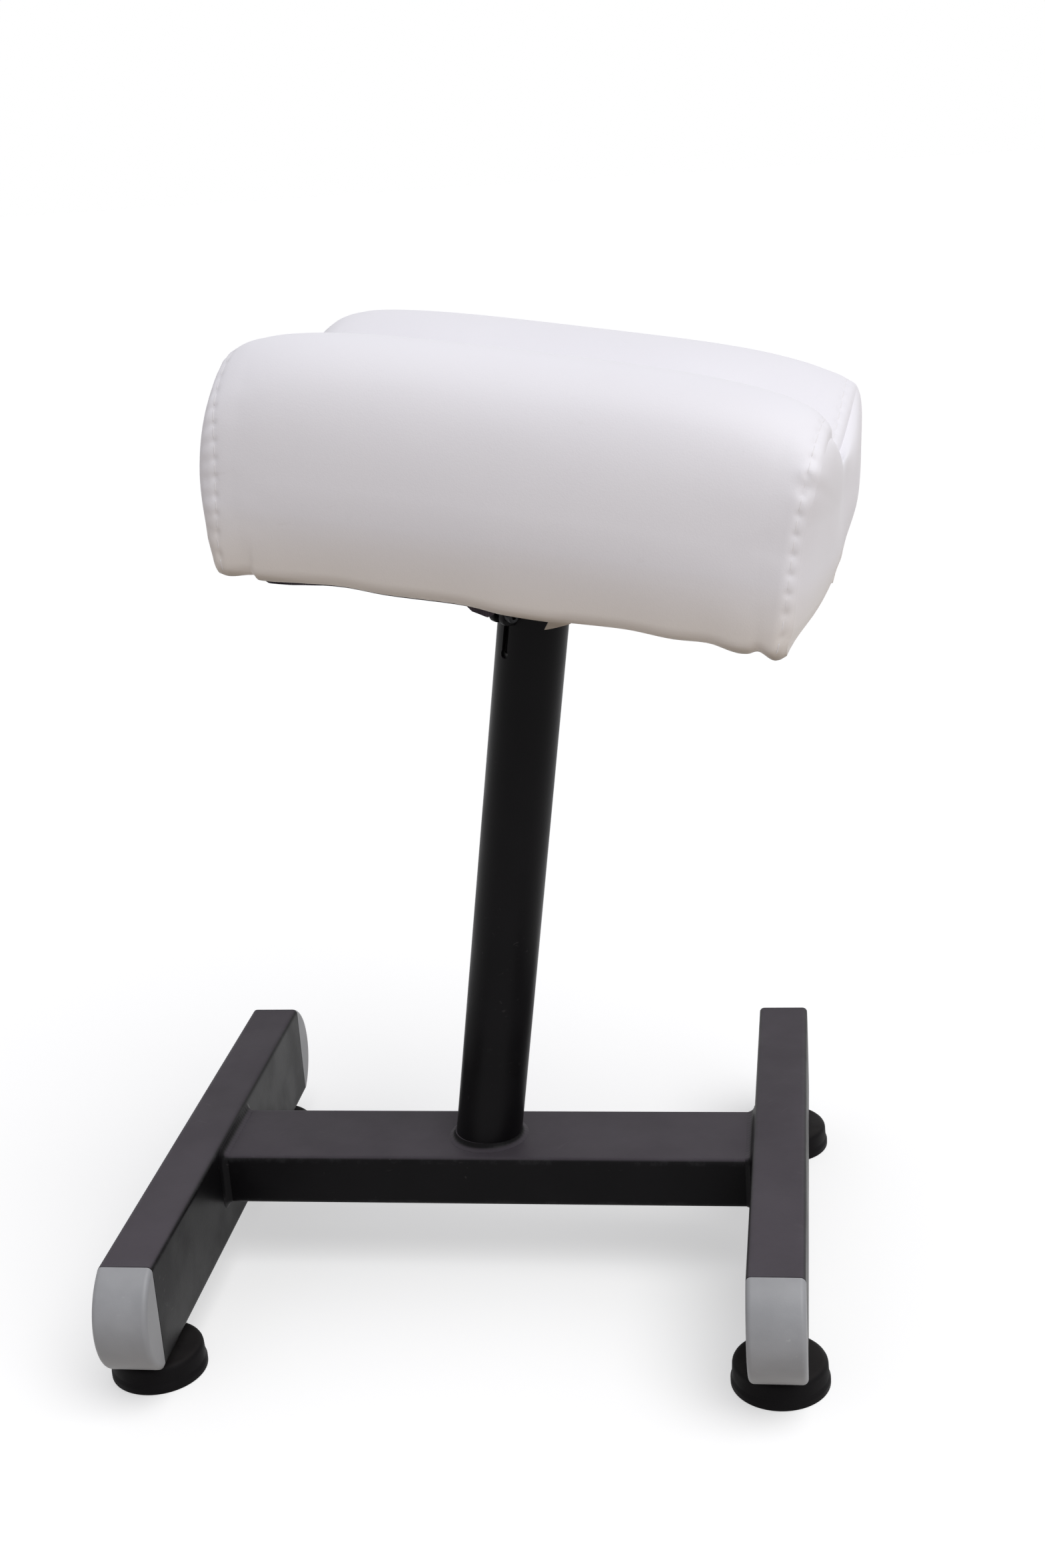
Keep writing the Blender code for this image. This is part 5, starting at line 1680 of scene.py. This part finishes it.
def foam_piece():
    """The foam on the board, inside the vinyl."""
    alongs = np.linspace(-1, 1, FOAM_COLUMNS + 1) * (1 - FOAM_INSET / SEAM_REACH)
    points, stations = wrap_grid(alongs, FOAM_FACET, FOAM_INSET)
    points = points[(stations >= 2) & (stations <= stations[-1] - 2)]
    points[..., 2] = np.maximum(points[..., 2], CUSHION_BOTTOM + FOAM_FLOOR)
    mesh = closed(grid("foam", points, close_rows=True), fill=True)
    return piece("foam_filling", mesh, HEAD_FRAME, "head", "foam", ["foam_core"])


def stitch_mesh():
    """One visible stitch along X: a thread that dips into its holes at both ends."""
    count, around = STITCH_FACETS
    along = np.linspace(-1, 1, count)[:, None]
    angles = round_angles(around)
    x = along * STITCH_PITCH * STITCH_SHARE / 2
    z = THREAD_RISE * np.sin(angles) - STITCH_DIP * along ** 4
    rings = np.stack(np.broadcast_arrays(x, THREAD_WIDTH / 2 * np.cos(angles), z), axis=-1)
    return closed(grid("stitch", rings, close_columns=True), fill=True)


def topstitch(stitches):
    """The thread beside both seams, from hole to hole."""
    meshes = []
    for line, up in stitches:
        row = path_mesh("topstitch", line, up=up)
        meshes.append(grown(row, ROW, Item=stand_in(stitch_mesh()), Finish=FINISHES["thread"]))
    piece("topstitch", joined("topstitch", *meshes), HEAD_FRAME, "head", "white_vinyl", look="thread")


def lining():
    """The dust cover, stretched under the board and sagging a little round the plate."""
    size = np.array([LINING_LENGTH, LINING_WIDTH])
    shares = [np.linspace(-0.5, 0.5, count) for count in (LINING_COLUMNS, LINING_ROWS)]
    flat = np.stack(np.meshgrid(*shares), axis=-1) * size
    core = np.clip(flat, LINING_CORNER - size / 2, size / 2 - LINING_CORNER)
    over = np.linalg.norm(flat - core, axis=-1, keepdims=True)
    flat = core + (flat - core) * (LINING_CORNER / np.maximum(over, LINING_CORNER))
    from_plate = np.maximum(np.abs(flat).max(axis=-1) - PLATE_SIDE / 2, 0)
    from_edge = (size / 2 - np.abs(flat)).min(axis=-1)
    slack = np.clip(from_plate / SAG_REACH, 0, 1) * np.clip(from_edge / SAG_REACH, 0, 1)
    ripple = [noise.noise(Vector((u * SAG_SPREAD, v * SAG_SPREAD, 0))) for u, v in flat.reshape(-1, 2)]
    sag = LINING_SAG * slack * (SAG_LEVELS[0] + SAG_LEVELS[1] * np.reshape(ripple, slack.shape))
    points = np.dstack([flat, LINING_BOTTOM + LINING - np.maximum(sag, 0)])
    mesh = walled(grid("lining", points), LINING)
    cloth = piece("dust_cover", mesh, HEAD_FRAME, "head", "lining_cloth", ["underside_lining"])
    flat = (LINING_WIDTH, LINING_LENGTH)
    lining_edge()


def staples():
    """A row of staples round the lining's edge."""
    around = oblong(LINING_LENGTH - 2 * STAPLE_INSET, LINING_WIDTH - 2 * STAPLE_INSET, LINING_CORNER)
    path = np.array([(x, y, LINING_BOTTOM) for x, y in [*around, around[0]]])
    run = lengths(path)
    places = np.linspace(0, run[-1], round(run[-1] / STAPLE_PITCH), endpoint=False)
    line = between(path, np.interp(places, run, np.arange(len(run))))
    row = path_mesh("staple_row", line, ring=True, up=[(0, 0, -1)] * len(line))
    mesh = grown(row, ROW, Item=stand_in(staple_mesh()), Finish=FINISHES["zinc"])
    piece("staples", smooth(mesh), HEAD_FRAME, "head", "zinc")


def staple_mesh():
    """One staple along X, its legs going down."""
    half = STAPLE_CROWN / 2
    thick = STAPLE_WIRE / 2
    corners = [(-half, -STAPLE_LEG, 0), (-half, thick, STAPLE_BEND), (half, thick, STAPLE_BEND)]
    line = eased([*corners, (half, -STAPLE_LEG, 0)], ring=False, steps=3)
    rings = []
    for i, here in enumerate(line):
        run = (line[min(i + 1, len(line) - 1)] - line[max(i - 1, 0)]).normalized()
        side = Vector((-run.y, run.x)) * thick
        rings.append([(here.x + a * side.x, b * thick, here.y + a * side.y) for a, b in CORNERS])
    return closed(grid("staple", rings, close_columns=True), fill=True)


def cushion():
    """The cover and its filling, the thread, and what closes the underside."""
    points, stitches = cushion_shape()
    hem = facet_counts(VINYL_FACET)[0]
    soft = [
        wrap_piece(points),
        end_panel("left", points[hem:-hem, 0]),
        end_panel("right", points[hem:-hem, -1]),
        foam_piece(),
    ]
    topstitch(stitches)
    tuck()
    lining()
    staples()


# Carried-over nodes

def dress_nodes():
    """Better materials for the CAD nodes that stay."""
    kept = {"post_bush": "black_plastic", "stem_plug": "black_plastic", "seat_board": "plywood"}
    kept.update({f"tee_nut_{number}": "zinc" for number in range(1, 5)})
    kept.update({f"thread_insert_{side}_{end}": "zinc" for side in SIDES for end in ENDS})
    for node, look in kept.items():
        for holder in frame["nodes"][node].material_slots:
            holder.material = FINISHES[look]


# Stage

def seen_or_mirrored(tree):
    """1 for rays from the camera and for reflections, 0 for light that falls on things."""
    path = add(tree, "ShaderNodeLightPath").outputs
    seen = math(tree, "MAXIMUM", path["Is Camera Ray"], path["Is Glossy Ray"])
    return math(tree, "MAXIMUM", seen, path["Is Transmission Ray"])


def stage():
    """A pale floor under a white sky, a wide overhead light and a window at the right."""
    reach = FLOOR_REACH
    floor = stand_in(grid("floor", [[(x, y, 0) for x in (-reach, reach)] for y in (-reach, reach)]))
    pale = bpy.data.materials.new("pale_floor")
    pale.use_nodes = True
    tree = pale.node_tree
    shader = tree.nodes["Principled BSDF"].inputs
    shown = seen_or_mirrored(tree)
    tree.links.new(blend(tree, shown, FLOOR_LIT, FLOOR_SEEN), shader["Base Color"])
    shader["Roughness"].default_value = 1.0
    shader["Specular IOR Level"].default_value = 0.0
    shader["Emission Color"].default_value = WHITE
    tree.links.new(math(tree, "MULTIPLY", shown, FLOOR_GLOW), shader["Emission Strength"])
    floor.data.materials.append(pale)

    world = bpy.data.worlds.new("studio")
    bpy.context.scene.world = world
    world.use_nodes = True
    tree = world.node_tree
    sky = tree.nodes["Background"].inputs
    tree.links.new(blend(tree, seen_or_mirrored(tree), SKY_LIT, WHITE), sky["Color"])

    for name, (kind, place, target, settings) in LAMPS.items():
        lamp(name, kind, place, target, settings)


def lamp(name, kind, place, target, settings):
    """A lamp at a place, turned to a target."""
    data = bpy.data.lights.new(name, kind)
    for setting, value in settings.items():
        setattr(data, setting, value)
    obj = bpy.data.objects.new(name, data)
    obj.location = place
    obj.rotation_euler = (Vector(place) - Vector(target)).to_track_quat("Z", "Y").to_euler()
    bpy.context.scene.collection.objects.link(obj)


def camera():
    """The photograph's viewpoint."""
    level = cos(CAMERA_PITCH)
    ahead = Vector((sin(CAMERA_YAW) * level, cos(CAMERA_YAW) * level, -sin(CAMERA_PITCH)))
    right = Vector((cos(CAMERA_YAW), -sin(CAMERA_YAW), 0))
    down = ahead.cross(right)
    across = cos(CAMERA_ROLL) * right + sin(CAMERA_ROLL) * down
    under = cos(CAMERA_ROLL) * down - sin(CAMERA_ROLL) * right
    lens = bpy.data.cameras.new("viewpoint")
    lens.sensor_fit = "VERTICAL"
    lens.sensor_height = SENSOR
    lens.lens = SENSOR * FOCAL_PIXELS / IMAGE_HEIGHT
    obj = bpy.data.objects.new("viewpoint", lens)
    axes = Matrix((across, -under, -ahead)).transposed().to_4x4()
    obj.matrix_world = Matrix.Translation(CAMERA_PLACE) @ axes
    bpy.context.scene.collection.objects.link(obj)
    bpy.context.scene.camera = obj


def main():
    camera()
    legs_and_bar()
    welds()
    for side in SIDES:
        for end in ENDS:
            end_cap(side, end)
            foot(side, end)
    lock_nuts()
    post()
    clamp()
    stem()
    mounting()
    cushion()
    dress_nodes()
    stage()
    bpy.context.scene.view_settings.view_transform = "Standard"


main()
